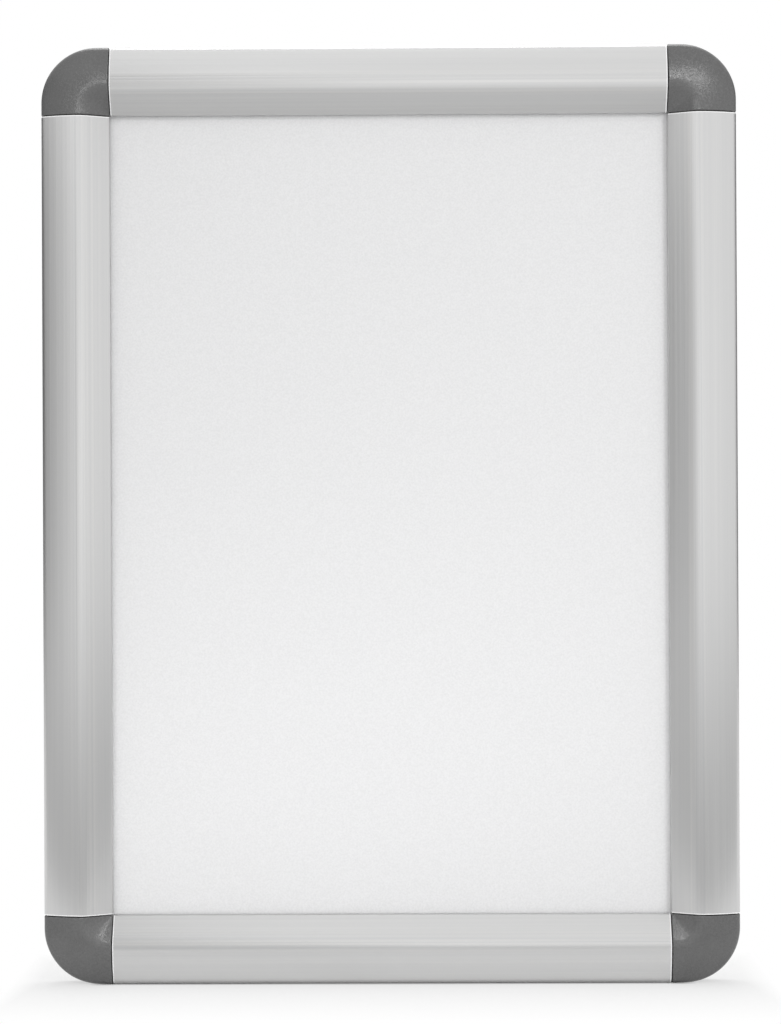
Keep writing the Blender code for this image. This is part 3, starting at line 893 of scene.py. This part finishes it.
def open_fan(name, path, inset, context):
    """Opens a fan in edit mode: a section spun ray by ray about the corner's inner point.

    Each ray is then stretched in plan from that point to the rounded outline.
    """
    rails, corner = context.scene.frame_rails, context.scene.frame_corners
    centre = FACE_WIDTH - corner.seam
    axis = (centre, 0, centre)
    y, z = -path[0][1], path[0][0] - corner.seam
    item = begin(name, bpy.ops.mesh.primitive_plane_add, size=1, location=(centre + 0.5, y + 0.5, z))
    drop_all_but(lambda vertex: vertex.co.x < centre + 0.5 and vertex.co.y < y + 0.5)
    carry(path, corner.seam, 2 * rails.facet)
    bpy.ops.mesh.select_all(action="SELECT")
    angles = fan_angles(inset, corner, centre)
    size = FACE_WIDTH - inset
    ratio = reach(angles[0], inset, corner, centre) / size
    bpy.ops.transform.resize(value=(ratio, 1, ratio), center_override=axis)
    for before, angle in zip(angles, angles[1:]):
        bpy.ops.mesh.spin(
            steps=1, angle=-radians(angle - before), center=axis, axis=(0, 1, 0), use_auto_merge=False
        )
        ratio = reach(angle, inset, corner, centre) / reach(before, inset, corner, centre)
        bpy.ops.transform.resize(value=(ratio, 1, ratio), center_override=axis)
    weld()
    return item


def lead_out(axis, centre, lead):
    """Carries one end of the fan a little way straight on towards its seam."""
    other = 2 - axis
    pick("VERT", lambda vertex: abs(vertex.co[axis] - centre) < TINY and vertex.co[other] < centre + TINY)
    move = Vector()
    move[axis] = lead
    extrude(move)


def round_seam(axis, start, radius):
    """Carries one end of the fan on to its seam, sinking it step by step to a round edge."""
    pick("VERT", lambda vertex: abs(vertex.co[axis] - start) < TINY)
    for step in range(SEAM_STEPS):
        before, after = (pi / 2 * count / SEAM_STEPS for count in (step, step + 1))
        move = Vector()
        move[axis] = radius * (sin(after) - sin(before))
        extrude(move)
        bpy.ops.transform.shrink_fatten(value=-radius * (cos(before) - cos(after)))


def corner_shell(context):
    """The corner's outer form, closed down to the wall plane."""
    rails, corner = context.scene.frame_rails, context.scene.frame_corners
    arcs = face_arcs(rails)
    centre = FACE_WIDTH - corner.seam
    path = [(0.0, 0.0), (0.0, arcs[0].centre[1]), *arcs, (FACE_WIDTH, 0.0)]
    item = open_fan("corner_shell", path, 0.0, context)
    lead = corner.seam / 10
    for axis in (0, 2):
        lead_out(axis, centre, lead)
    weld()
    for axis in (0, 2):
        round_seam(axis, centre + lead, corner.seam - lead)
    for axis in (0, 2):
        cap(on_plane(axis, FACE_WIDTH))
    cap(on_plane(1, 0))
    weld()
    end()
    check_closed(item)
    return item


def corner_cavity(context):
    """The hollow behind the corner's wall; end walls, poster stop and one diagonal rib stay standing."""
    rails, corner = context.scene.frame_rails, context.scene.frame_corners
    over = rails.floor
    far = FACE_WIDTH + over
    deep = CAD_BOX[1].y - CAD_BOX[0].y + over
    centre = FACE_WIDTH - corner.seam
    arcs = [sunk(arc, corner.wall) for arc in face_arcs(rails)[:-1]]
    top = point_on(arcs[-1], arcs[-1].end)[1]
    path = [(corner.wall, -over), (corner.wall, arcs[0].centre[1]), *arcs]
    path += [(FACE_WIDTH, top), (FACE_WIDTH, -over)]
    item = open_fan("corner_cavity", path, corner.wall, context)
    for axis in (0, 2):
        cap(on_plane(axis, centre))
    cap(on_plane(1, over))
    weld()
    limit = FACE_WIDTH - corner.wall
    for axis in (0, 2):
        bpy.ops.mesh.select_all(action="SELECT")
        away = Vector()
        away[axis] = 1
        bpy.ops.mesh.bisect(plane_co=(limit, 0, limit), plane_no=away, use_fill=True, clear_outer=True)
    end()
    check_closed(item)
    stop, _ = poster_stop(rails)
    cut(item, block("poster_stop", (stop, -deep, stop), (far, 2 * over, far)))
    rib = block("diagonal_rib", (0, -deep, -corner.rib / 2), (2 * far, 2 * over, corner.rib / 2))
    turn_to(rib, -45)
    cut(item, rib)
    return item


def tongue(upright, context):
    """A tongue from the corner's end wall into the base rail's channel, with a tapered lead."""
    rails, corner = context.scene.frame_rails, context.scene.frame_corners
    near = leg_foot(rails)[0] + rails.foot_reach + corner.tongue_clearance
    far = poster_stop(rails)[0] - rails.hook_reach - rails.gap
    start = FACE_WIDTH - corner.wall / 2
    tip = FACE_WIDTH + END_GAP + corner.tongue_length
    back = rails.floor + rails.gap
    low, high = (start, -back - corner.tongue, near), (tip, -back, far)
    if upright:
        low, high = (near, -back - corner.tongue, start), (far, -back, tip)
    along = 2 if upright else 0
    item = block("tongue", low, high)
    bpy.ops.object.mode_set(mode="EDIT")
    pick(
        "EDGE",
        lambda edge: all(abs(vertex.co[along] - tip) < TINY for vertex in edge.verts)
        and abs(edge.verts[0].co.y - edge.verts[1].co.y) > TINY,
    )
    bpy.ops.mesh.bevel(offset=corner.tongue_taper, segments=1, affect="EDGES")
    pick(
        "EDGE",
        lambda edge: all(vertex.co[along] > start + TINY for vertex in edge.verts)
        or abs(edge.verts[0].co[along] - edge.verts[1].co[along]) > corner.tongue_length / 2,
    )
    bpy.ops.mesh.bevel(offset=corner.tongue_edge, segments=3, affect="EDGES")
    end()
    return item


def make_corners(context):
    """One moulded corner, copied to the four places."""
    rails, corner = context.scene.frame_rails, context.scene.frame_corners
    small = context.scene.frame_small_parts
    over = rails.floor
    far = FACE_WIDTH + over
    master = corner_shell(context)
    cut(master, corner_cavity(context))
    _, inner = poster_stop(rails)
    cut(master, block("pocket", (inner, -lip_under(rails), inner), (far, -rails.floor, far)))
    opening = FACE_WIDTH - rails.floor_setback
    cut(master, block("floor_opening", (opening, -2 * over, opening), (far, over, far)))
    hole_along = FACE_WIDTH + END_GAP + RAIL_BOX[1].x - SCREW_ALONG
    radius = small.screw + rails.gap
    for upright in (False, True):
        cut(master, tongue(upright, context), "UNION")
        x, z = (CHANNEL_MIDDLE, hole_along) if upright else (hole_along, CHANNEL_MIDDLE)
        drill(master, [(radius, 0.0), (radius, 2 * corner.tongue)], x, z)
    complete(master, plastic_finish(context))
    for name, (turn, right, up) in CORNERS.items():
        piece = copy_piece(master, f"{name}_corner")
        turn_to(piece, turn, (right * HALF_WIDTH, 0, up * HALF_HEIGHT))
        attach(piece, "frame")
        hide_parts(f"corner_{name}")
    bpy.data.objects.remove(master, do_unlink=True)


# Corner screws


def screw_profile(rails, small, corner):
    """Radius and place of each step down a screw: head, cone, thread ridges and point."""
    head_end = small.screw_sunk + small.screw_head_depth
    tip = rails.floor + corner.tongue
    lead = tip - small.screw_tip
    profile = [
        (small.screw_head - small.screw_rim, small.screw_sunk),
        (small.screw_head, small.screw_sunk + small.screw_rim),
        (small.screw_root, head_end),
    ]
    place = head_end
    while place + small.screw_pitch < lead:
        for quarter, radius in enumerate((small.screw_root, small.screw, small.screw, small.screw_root), 1):
            profile.append((radius, place + quarter * small.screw_pitch / 4))
        place += small.screw_pitch
    profile.extend([(small.screw_root, lead), (small.screw_root - small.screw_tip, tip)])
    return profile


def make_screws(context):
    """One countersunk screw, copied to the eight places with its recess turned differently."""
    small = context.scene.frame_small_parts
    profile = screw_profile(context.scene.frame_rails, small, context.scene.frame_corners)
    master = turned("corner_screw", profile)
    long, wide = small.recess_length / 2, small.recess_width / 2
    back, front = small.screw_sunk - small.recess_depth, small.screw_sunk + small.recess_depth
    for x, z in ((long, wide), (wide, long)):
        slot = block("recess", (-x, -front, -z), (x, -back, z))
        bpy.ops.object.mode_set(mode="EDIT")
        pick("FACE", lambda face: face.normal.y < -0.5)
        narrower = (RECESS_TAPER_SHARE, 1, RECESS_TAPER_SHARE)
        bpy.ops.transform.resize(value=narrower, center_override=(0, -front, 0))
        end()
        apply_modifier(slot, "BEVEL", width=small.recess_width / 5, segments=2)
        cut(master, slot)
    complete(master, screw_finish(context))
    own_turn = 0
    for side, turn in SIDES.items():
        for count, along in enumerate(screw_places(side), 1):
            screw = copy_piece(master, f"{side}_corner_screw_{count}")
            own_turn += SCREW_TURN
            turn_to(screw, own_turn, (along, 0, CHANNEL_MIDDLE - half_span(side)))
            turn_to(screw, turn)
            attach(screw, "frame")
            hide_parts(f"corner_screw_{side}_{count}")
    bpy.data.objects.remove(master, do_unlink=True)


# Poster pack


def make_panel(name, node, edge, finish):
    """A flat panel of the node's size, with its edges rounded over."""
    low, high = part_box(node)
    item = block(name, low, high)
    bpy.ops.object.mode_set(mode="EDIT")
    bpy.ops.mesh.select_all(action="SELECT")
    bpy.ops.mesh.bevel(offset=edge, segments=3, affect="EDGES")
    end()
    complete(item, finish)
    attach(item, "frame")
    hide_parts(node)


# Finishes


def new_finish(name, shade, dull, metallic=0.0):
    """A new material with its shader and the object's own coordinates: (material, tree, shader, coords)."""
    material = bpy.data.materials.new(name)
    material.use_nodes = True
    tree = material.node_tree
    shader = tree.nodes["Principled BSDF"]
    shader.inputs["Base Color"].default_value = (*shade, 1)
    shader.inputs["Roughness"].default_value = sum(dull) / 2
    shader.inputs["Metallic"].default_value = metallic
    return material, tree, shader, own_coordinates(tree)


def own_coordinates(tree):
    return tree.nodes.new("ShaderNodeTexCoord").outputs["Object"]


def own_axes(tree, coords):
    """The sockets of X, Y and Z."""
    axes = tree.nodes.new("ShaderNodeSeparateXYZ")
    tree.links.new(coords, axes.inputs[0])
    return axes.outputs


def noise(tree, coords, grain, shift=(0, 0, 0)):
    """A noise with a scale of its own along each axis."""
    mapping = tree.nodes.new("ShaderNodeMapping")
    mapping.inputs["Scale"].default_value = grain.scale
    mapping.inputs["Location"].default_value = shift
    tree.links.new(coords, mapping.inputs["Vector"])
    texture = tree.nodes.new("ShaderNodeTexNoise")
    texture.inputs["Scale"].default_value = 1
    texture.inputs["Detail"].default_value = grain.detail
    texture.inputs["Roughness"].default_value = grain.roughness
    tree.links.new(mapping.outputs["Vector"], texture.inputs["Vector"])
    return texture.outputs["Fac"]


def ranged(tree, value, low, high, start=0.3, finish=0.7):
    """Spreads a value from one range to another; a noise value keeps mostly between 0.3 and 0.7."""
    spread = tree.nodes.new("ShaderNodeMapRange")
    for name, bound in (("From Min", start), ("From Max", finish), ("To Min", low), ("To Max", high)):
        spread.inputs[name].default_value = bound
    tree.links.new(value, spread.inputs["Value"])
    return spread.outputs["Result"]


def combined(tree, operation, value, *others):
    """One value out of some, by a sum that takes one or two at a time."""
    for other in others or (None,):
        step = tree.nodes.new("ShaderNodeMath")
        step.operation = operation
        tree.links.new(value, step.inputs[0])
        if other is not None:
            tree.links.new(other, step.inputs[1])
        value = step.outputs[0]
    return value


def tint(tree, shader, value, shade, shares):
    """Colours the shader by a value from 0 to 1, from one share of a colour to another.

    A share is one number, or one for each channel.
    """
    mix = tree.nodes.new("ShaderNodeMix")
    mix.data_type = "RGBA"
    for socket, share in zip(mix.inputs[6:8], shares):
        each = (share,) * 3 if isinstance(share, (int, float)) else share
        socket.default_value = (*(min(1.0, channel * part) for channel, part in zip(shade, each)), 1)
    tree.links.new(value, mix.inputs[0])
    tree.links.new(mix.outputs[2], shader.inputs["Base Color"])


def bump(tree, shader, height, distance):
    relief = tree.nodes.new("ShaderNodeBump")
    relief.inputs["Strength"].default_value = 1
    relief.inputs["Distance"].default_value = distance
    tree.links.new(height, relief.inputs["Height"])
    tree.links.new(relief.outputs["Normal"], shader.inputs["Normal"])


def grained_finish(
    name, shade, grain, dull, relief, tints=None, metallic=0.0, cloud=None, haze=None, spread=(0.3, 0.7)
):
    """A material whose grain tints it, dulls it and raises it.

    Tints are the least and the greatest share of its colour, and dull is its range of roughness, over the
    spread of the grain. A cloud tints it in the grain's place, and a haze dulls it in the grain's place.
    """
    material, tree, shader, coords = new_finish(name, shade, dull, metallic)
    raised = noise(tree, coords, grain)
    bump(tree, shader, raised, relief)
    if tints:
        tinted = noise(tree, coords, cloud) if cloud else raised
        tint(tree, shader, ranged(tree, tinted, 0, 1), shade, tints)
    if dull[0] != dull[1]:
        dulled = noise(tree, coords, haze) if haze else raised
        tree.links.new(ranged(tree, dulled, *dull, *spread), shader.inputs["Roughness"])
    return material


def anodised_finish(side, context):
    """Matt anodised aluminium: fine streaks along the rail, and bands of tint that show most at its crest.

    The bands are the anodising's own tone, but their greater strength at the crest is painted sheen.
    """
    shade = context.scene.frame_colours.aluminium
    dull = (0.33, 0.42)
    material, tree, shader, coords = new_finish(f"anodised_{side}", shade, dull, 1.0)
    level = side in LEVEL_SIDES

    def streaks(along, across):
        return (along, across, across) if level else (across, across, along)

    shift = (SIDES[side] / 10, 0, SIDES[side] / 7)
    fine = noise(tree, coords, Grain(streaks(*FINE_STREAKS)), shift)
    bands = noise(tree, coords, Grain(streaks(*BROAD_STREAKS), roughness=0.7), shift)
    # Painted sheen: the tint bands keep their full strength only around the crest, and a calm share elsewhere
    across = combined(tree, "ABSOLUTE", own_axes(tree, coords)["Z" if level else "X"])
    crest = half_span(side) - FACE_WIDTH * CREST_END_SHARE
    outside, inside = crest + STREAKS_OUTSIDE, crest - STREAKS_INSIDE
    outer = ranged(tree, across, 1, CALM_SHARE, outside, outside + STREAK_FADE)
    inner = ranged(tree, across, CALM_SHARE, 1, inside - STREAK_FADE, inside)
    strength = combined(tree, "MINIMUM", outer, inner)
    tone_and_crest_sheen = combined(tree, "MULTIPLY", ranged(tree, bands, -0.5, 0.5, *BROAD_SPREAD), strength)
    tint(tree, shader, ranged(tree, tone_and_crest_sheen, 0, 1, -0.5, 0.5), shade, (COOL_SHARES, WARM_SHARES))
    tree.links.new(ranged(tree, fine, *dull), shader.inputs["Roughness"])
    bump(tree, shader, bands, 0.00007)
    return material


def cut_finish(context):
    """Bare sawn aluminium with fine saw marks.

    Its near-white, mostly diffuse look is partly painted glint: the sawn ends stay bright as if they caught
    the light.
    """
    return grained_finish(
        "cut_metal",
        context.scene.frame_colours.cut_metal,
        Grain((900, 2400, 900), 2),
        dull=(0.45, 0.65),
        relief=0.00001,
        metallic=0.2,
    )


def plastic_finish(context):
    """Moulded plastic with a fine spark-eroded grain."""
    return grained_finish(
        "moulded_grain",
        context.scene.frame_colours.plastic,
        Grain((950, 950, 950), 2, 0.6),
        tints=(0.95, 1.06),
        dull=(0.22, 0.35),
        relief=0.00007,
        cloud=Grain((90, 90, 90)),
        spread=(0.38, 0.62),
    )


def spring_finish(context):
    """Rolled spring steel with a fine, even grain."""
    return grained_finish(
        "spring_steel",
        context.scene.frame_colours.spring,
        Grain((900, 900, 900)),
        tints=(0.95, 1.05),
        dull=(0.27, 0.34),
        relief=0.000005,
        metallic=1.0,
    )


def screw_finish(context):
    """Zinc-plated steel, slightly cloudy."""
    return grained_finish(
        "zinc_plate",
        context.scene.frame_colours.screw,
        Grain((700, 700, 700)),
        tints=(0.88, 1.06),
        dull=(0.26, 0.4),
        relief=0.00001,
        metallic=1.0,
    )


def board_finish(context):
    """White board with a faint fibre grain."""
    return grained_finish(
        "white_board_face",
        context.scene.frame_colours.board,
        Grain((500, 500, 120), 4),
        tints=(0.97, 1.02),
        dull=(0.6, 0.6),
        relief=0.00002,
    )


def sheet_finish(context):
    """Frosted anti-glare sheet: a fine sparkle over the white that lies behind it."""
    return grained_finish(
        "frosted_sheet",
        context.scene.frame_colours.sheet,
        Grain((1500, 1500, 1500), 3, 0.6),
        tints=(0.955, 1.045),
        dull=(0.46, 0.54),
        relief=0.00002,
        haze=Grain((12, 12, 9), 2),
    )


# Stage


def background_rays(tree):
    """1 for rays that should find the white background: those of the camera, of gloss and of glass."""
    path = tree.nodes.new("ShaderNodeLightPath")
    kinds = (path.outputs[f"Is {kind} Ray"] for kind in ("Camera", "Glossy", "Transmission"))
    return combined(tree, "MAXIMUM", *kinds)


def mixed(tree, share, first, second):
    """One shader out of two, by the share of the second."""
    mix = tree.nodes.new("ShaderNodeMixShader")
    for output, socket in zip((share, first, second), mix.inputs):
        tree.links.new(output, socket)
    return mix.outputs[0]


def make_world(stage):
    world = bpy.data.worlds.new("studio")
    bpy.context.scene.world = world
    world.use_nodes = True
    tree = world.node_tree
    room = tree.nodes["Background"]
    room.inputs["Color"].default_value = (1, 1, 1, 1)
    room.inputs["Strength"].default_value = stage.world_level
    white = tree.nodes.new("ShaderNodeBackground")
    white.inputs["Color"].default_value = (1, 1, 1, 1)
    seen = mixed(tree, background_rays(tree), room.outputs[0], white.outputs[0])
    tree.links.new(seen, tree.nodes["World Output"].inputs[0])


def add_plane(name, size, place):
    """A flat piece of the stage with a bare material: (object, its nodes, the socket that takes a shader)."""
    deselect_all()
    bpy.ops.mesh.primitive_plane_add(size=size, location=place)
    plane = bpy.context.active_object
    plane.name = name
    material = bpy.data.materials.new(name)
    material.use_nodes = True
    tree = material.node_tree
    tree.nodes.remove(tree.nodes["Principled BSDF"])
    plane.data.materials.append(material)
    return plane, tree, tree.nodes["Material Output"].inputs["Surface"]


def make_floor(stage):
    """A matt white floor, lifted towards plain white where it is seen, which keeps the frame's shadow."""
    _, tree, surface = add_plane("studio_floor", FLOOR_SIZE, (0, 0, -HALF_HEIGHT))
    matt = tree.nodes.new("ShaderNodeBsdfDiffuse")
    glow = tree.nodes.new("ShaderNodeEmission")
    place = own_axes(tree, own_coordinates(tree))
    across = combined(tree, "ABSOLUTE", place["X"])
    front = ranged(tree, place["Y"], 1, stage.floor_lift, *FLOOR_FRONT)
    contact = ranged(tree, place["Y"], 1, 0, *FLOOR_CONTACT)
    contact = combined(tree, "MAXIMUM", contact, ranged(tree, across, 0, 1, *FLOOR_CORNERS))
    back = ranged(tree, place["Y"], 0, 1, *FLOOR_BACK)
    sides = ranged(tree, across, 0, 1, *FLOOR_SIDES)
    spread = combined(tree, "MAXIMUM", combined(tree, "MULTIPLY", front, contact), back, sides)
    share = combined(tree, "MULTIPLY", background_rays(tree), spread)
    tree.links.new(mixed(tree, share, matt.outputs[0], glow.outputs[0]), surface)


def aside(right, up, distance):
    """A place in front of the frame, by its angles to the right and up in degrees and its distance."""
    level = distance * cos(radians(up))
    return Vector((level * sin(radians(right)), -level * cos(radians(right)), distance * sin(radians(up))))


# Lamps: place, width and height, whether gloss shows them, and a roll in degrees that lifts the right end
LAMPS = {
    "key": Lamp(aside(33, 20, 3.0), (0.9, 0.9), mirrored=False),
    "low": Lamp(Vector((-0.02, -0.16, -0.15)), (0.34, 0.02), mirrored=False),
    "gloss": Lamp(Vector((0.07, -0.54, 0.34)), (0.6, 0.07), roll=12),
    "side": Lamp(aside(44, 3, 1.5), (0.55, 0.55)),
    "rim": Lamp(aside(0, 106, 1.2), (0.8, 0.8)),
    "front": Lamp(aside(3, 2, 1.8), (1.2, 1.0)),
    "fill": Lamp(aside(-28, 30, 1.8), (0.9, 0.9)),
}


def add_lamp(name, energy):
    """A soft lamp of the list, which shines at the frame's middle."""
    place, size, mirrored, roll = LAMPS[name]
    data = bpy.data.lights.new(f"{name}_lamp", "AREA")
    data.shape = "RECTANGLE"
    data.size, data.size_y = size
    data.energy = energy
    lamp = bpy.data.objects.new(f"{name}_lamp", data)
    lamp.location = place
    look = (-place).to_track_quat("-Z", "Y")
    lamp.rotation_euler = (look @ Quaternion((0, 0, 1), radians(roll))).to_euler()
    lamp.visible_glossy = mirrored
    lamp.visible_camera = False
    bpy.context.scene.collection.objects.link(lamp)


def shine_on_corners(lamp):
    """Keeps a lamp's light to the gloss of the four corners."""
    corners = bpy.data.collections.new("moulded_corners")
    for name in CORNERS:
        corners.objects.link(bpy.data.objects[f"{name}_corner"])
    lamp.light_linking.receiver_collection = corners
    lamp.visible_diffuse = False


def make_lamps(stage):
    for name in LAMPS:
        add_lamp(name, getattr(stage, f"{name}_power"))
    shine_on_corners(bpy.data.objects["gloss_lamp"])


def add_card(name, place, facing, size, levels, axis="X"):
    """A grey card that only mirroring surfaces show, graded through its levels along an axis.

    The levels are pairs of a share of the way across the card and how bright it is there.
    """
    card, tree, surface = add_plane(name, 1, place)
    card.scale = (*size, 1)
    card.rotation_euler = facing.to_track_quat("Z", "Y").to_euler()
    card.visible_camera = card.visible_diffuse = card.visible_shadow = False
    ramp = tree.nodes.new("ShaderNodeValToRGB")
    stops = ramp.color_ramp.elements
    stops.remove(stops[1])
    for count, (share, level) in enumerate(levels):
        stop = stops.new(share) if count else stops[0]
        stop.position = share
        stop.color = (level, level, level, 1)
    along = own_axes(tree, own_coordinates(tree))[axis]
    tree.links.new(ranged(tree, along, 0, 1, -0.5, 0.5), ramp.inputs[0])
    grey = tree.nodes.new("ShaderNodeEmission")
    tree.links.new(ramp.outputs[0], grey.inputs["Color"])
    tree.links.new(grey.outputs[0], surface)


def make_cards(stage):
    """Cards at the sides, behind the frame, and lying in front of it close over the floor."""
    outer, dark = stage.side_card, ((0, stage.back_card),)
    graded = ((0, 1), (0.24, 0.88), (0.43, 0.67), (0.52, 0.55), (0.62, outer), (0.8, stage.back_card))
    for name, right, up, width, height, levels in (
        ("side", -50, 4, 2.1, CARD_HEIGHT, graded),
        ("right", 70, 4, 1.3, CARD_HEIGHT, ((0.05, stage.right_card), (0.7, 1))),
        ("left_back", -120, 0, 1.3, CARD_HEIGHT, dark),
        ("back", 180, 0, 1.3, 0.3, dark),
        ("right_back", 135, 0, 1.3, CARD_HEIGHT, dark),
    ):
        place = aside(right, up, CARD_DISTANCE)
        add_card(f"{name}_card", place, -place, (width, height), levels)
    lying = Vector((0, -LYING_CARD_FRONT, LYING_CARD_OVER_FLOOR - HALF_HEIGHT))
    levels = ((0.05, stage.floor_card), (0.7, 1))
    add_card("floor_card", lying, Vector((0, 0, 1)), (2.4, 0.9), levels, "Y")


def make_camera(stage):
    data = bpy.data.cameras.new("camera")
    data.lens = stage.camera_lens
    data.sensor_width = 36
    data.clip_start = 0.01
    camera = bpy.data.objects.new("camera", data)
    place = Vector((stage.camera_side, -stage.camera_distance, stage.camera_rise))
    look = (Vector((stage.aim_side, 0, stage.aim_rise)) - place).to_track_quat("-Z", "Y")
    roll = Quaternion((0, 0, 1), radians(stage.camera_roll))
    camera.location = place
    camera.rotation_euler = (look @ roll.inverted()).to_euler()
    bpy.context.scene.collection.objects.link(camera)
    bpy.context.scene.camera = camera


# Operators, one for each piece or group of like pieces


class SnapRails(bpy.types.Operator):
    """Models the four hinged snap rails"""

    bl_idname = "poster_frame.snap_rails"
    bl_label = "Snap rails"

    def execute(self, context):
        for side in SIDES:
            make_snap_rail(side, context)
        return {"FINISHED"}


class BaseRails(bpy.types.Operator):
    """Models the four base rails with their screw holes"""

    bl_idname = "poster_frame.base_rails"
    bl_label = "Base rails"

    def execute(self, context):
        for side in SIDES:
            make_base_rail(side, context)
        return {"FINISHED"}


class LeafSprings(bpy.types.Operator):
    """Models a leaf spring and copies it under the snap rails"""

    bl_idname = "poster_frame.leaf_springs"
    bl_label = "Leaf springs"

    def execute(self, context):
        make_springs(context)
        return {"FINISHED"}


class CornerPieces(bpy.types.Operator):
    """Models a moulded corner and copies it to the four corners"""

    bl_idname = "poster_frame.corner_pieces"
    bl_label = "Corner pieces"

    def execute(self, context):
        make_corners(context)
        return {"FINISHED"}


class CornerScrews(bpy.types.Operator):
    """Models a corner screw and copies it to the eight holes"""

    bl_idname = "poster_frame.corner_screws"
    bl_label = "Corner screws"

    def execute(self, context):
        make_screws(context)
        return {"FINISHED"}


class PosterPack(bpy.types.Operator):
    """Models the backboard and the cover sheet"""

    bl_idname = "poster_frame.poster_pack"
    bl_label = "Poster pack"

    def execute(self, context):
        edge = context.scene.frame_small_parts.panel_edge
        make_panel("white_backboard", "backboard", edge, board_finish(context))
        make_panel("frosted_cover", "cover_sheet", edge, sheet_finish(context))
        return {"FINISHED"}


class StudioStage(bpy.types.Operator):
    """Sets the floor, the world, the lamps and the camera"""

    bl_idname = "poster_frame.studio_stage"
    bl_label = "Studio stage"

    def execute(self, context):
        stage = context.scene.frame_stage
        context.scene.view_settings.view_transform = "Standard"
        make_world(stage)
        make_floor(stage)
        make_lamps(stage)
        make_cards(stage)
        make_camera(stage)
        return {"FINISHED"}


class PosterFramePanel(bpy.types.Panel):
    """Lists the frame's pieces and the values that they are made from"""

    bl_label = "Poster Frame"
    bl_idname = "VIEW3D_PT_poster_frame"
    bl_space_type = "VIEW_3D"
    bl_region_type = "UI"
    bl_category = "Poster Frame"

    def draw(self, context):
        for operator in PIECE_OPERATORS:
            self.layout.operator(operator.bl_idname)
        for name in VALUE_GROUPS:
            box = self.layout.box()
            group = getattr(context.scene, name)
            for value in group.__annotations__:
                box.prop(group, value)


VALUE_GROUPS = {
    "frame_rails": RailSizes,
    "frame_corners": CornerSizes,
    "frame_small_parts": SmallPartSizes,
    "frame_colours": FinishColours,
    "frame_stage": StageValues,
}
PIECE_OPERATORS = (SnapRails, BaseRails, LeafSprings, CornerPieces, CornerScrews, PosterPack, StudioStage)


def register():
    for kind in (*VALUE_GROUPS.values(), *PIECE_OPERATORS, PosterFramePanel):
        bpy.utils.register_class(kind)
    for name, group in VALUE_GROUPS.items():
        setattr(bpy.types.Scene, name, bpy.props.PointerProperty(type=group))


def unregister():
    for name in VALUE_GROUPS:
        delattr(bpy.types.Scene, name)
    for kind in reversed((*VALUE_GROUPS.values(), *PIECE_OPERATORS, PosterFramePanel)):
        bpy.utils.unregister_class(kind)


def main():
    register()
    bpy.ops.poster_frame.snap_rails()
    bpy.ops.poster_frame.base_rails()
    bpy.ops.poster_frame.leaf_springs()
    bpy.ops.poster_frame.corner_pieces()
    bpy.ops.poster_frame.corner_screws()
    bpy.ops.poster_frame.poster_pack()
    bpy.ops.poster_frame.studio_stage()


if __name__ == "__main__":
    main()
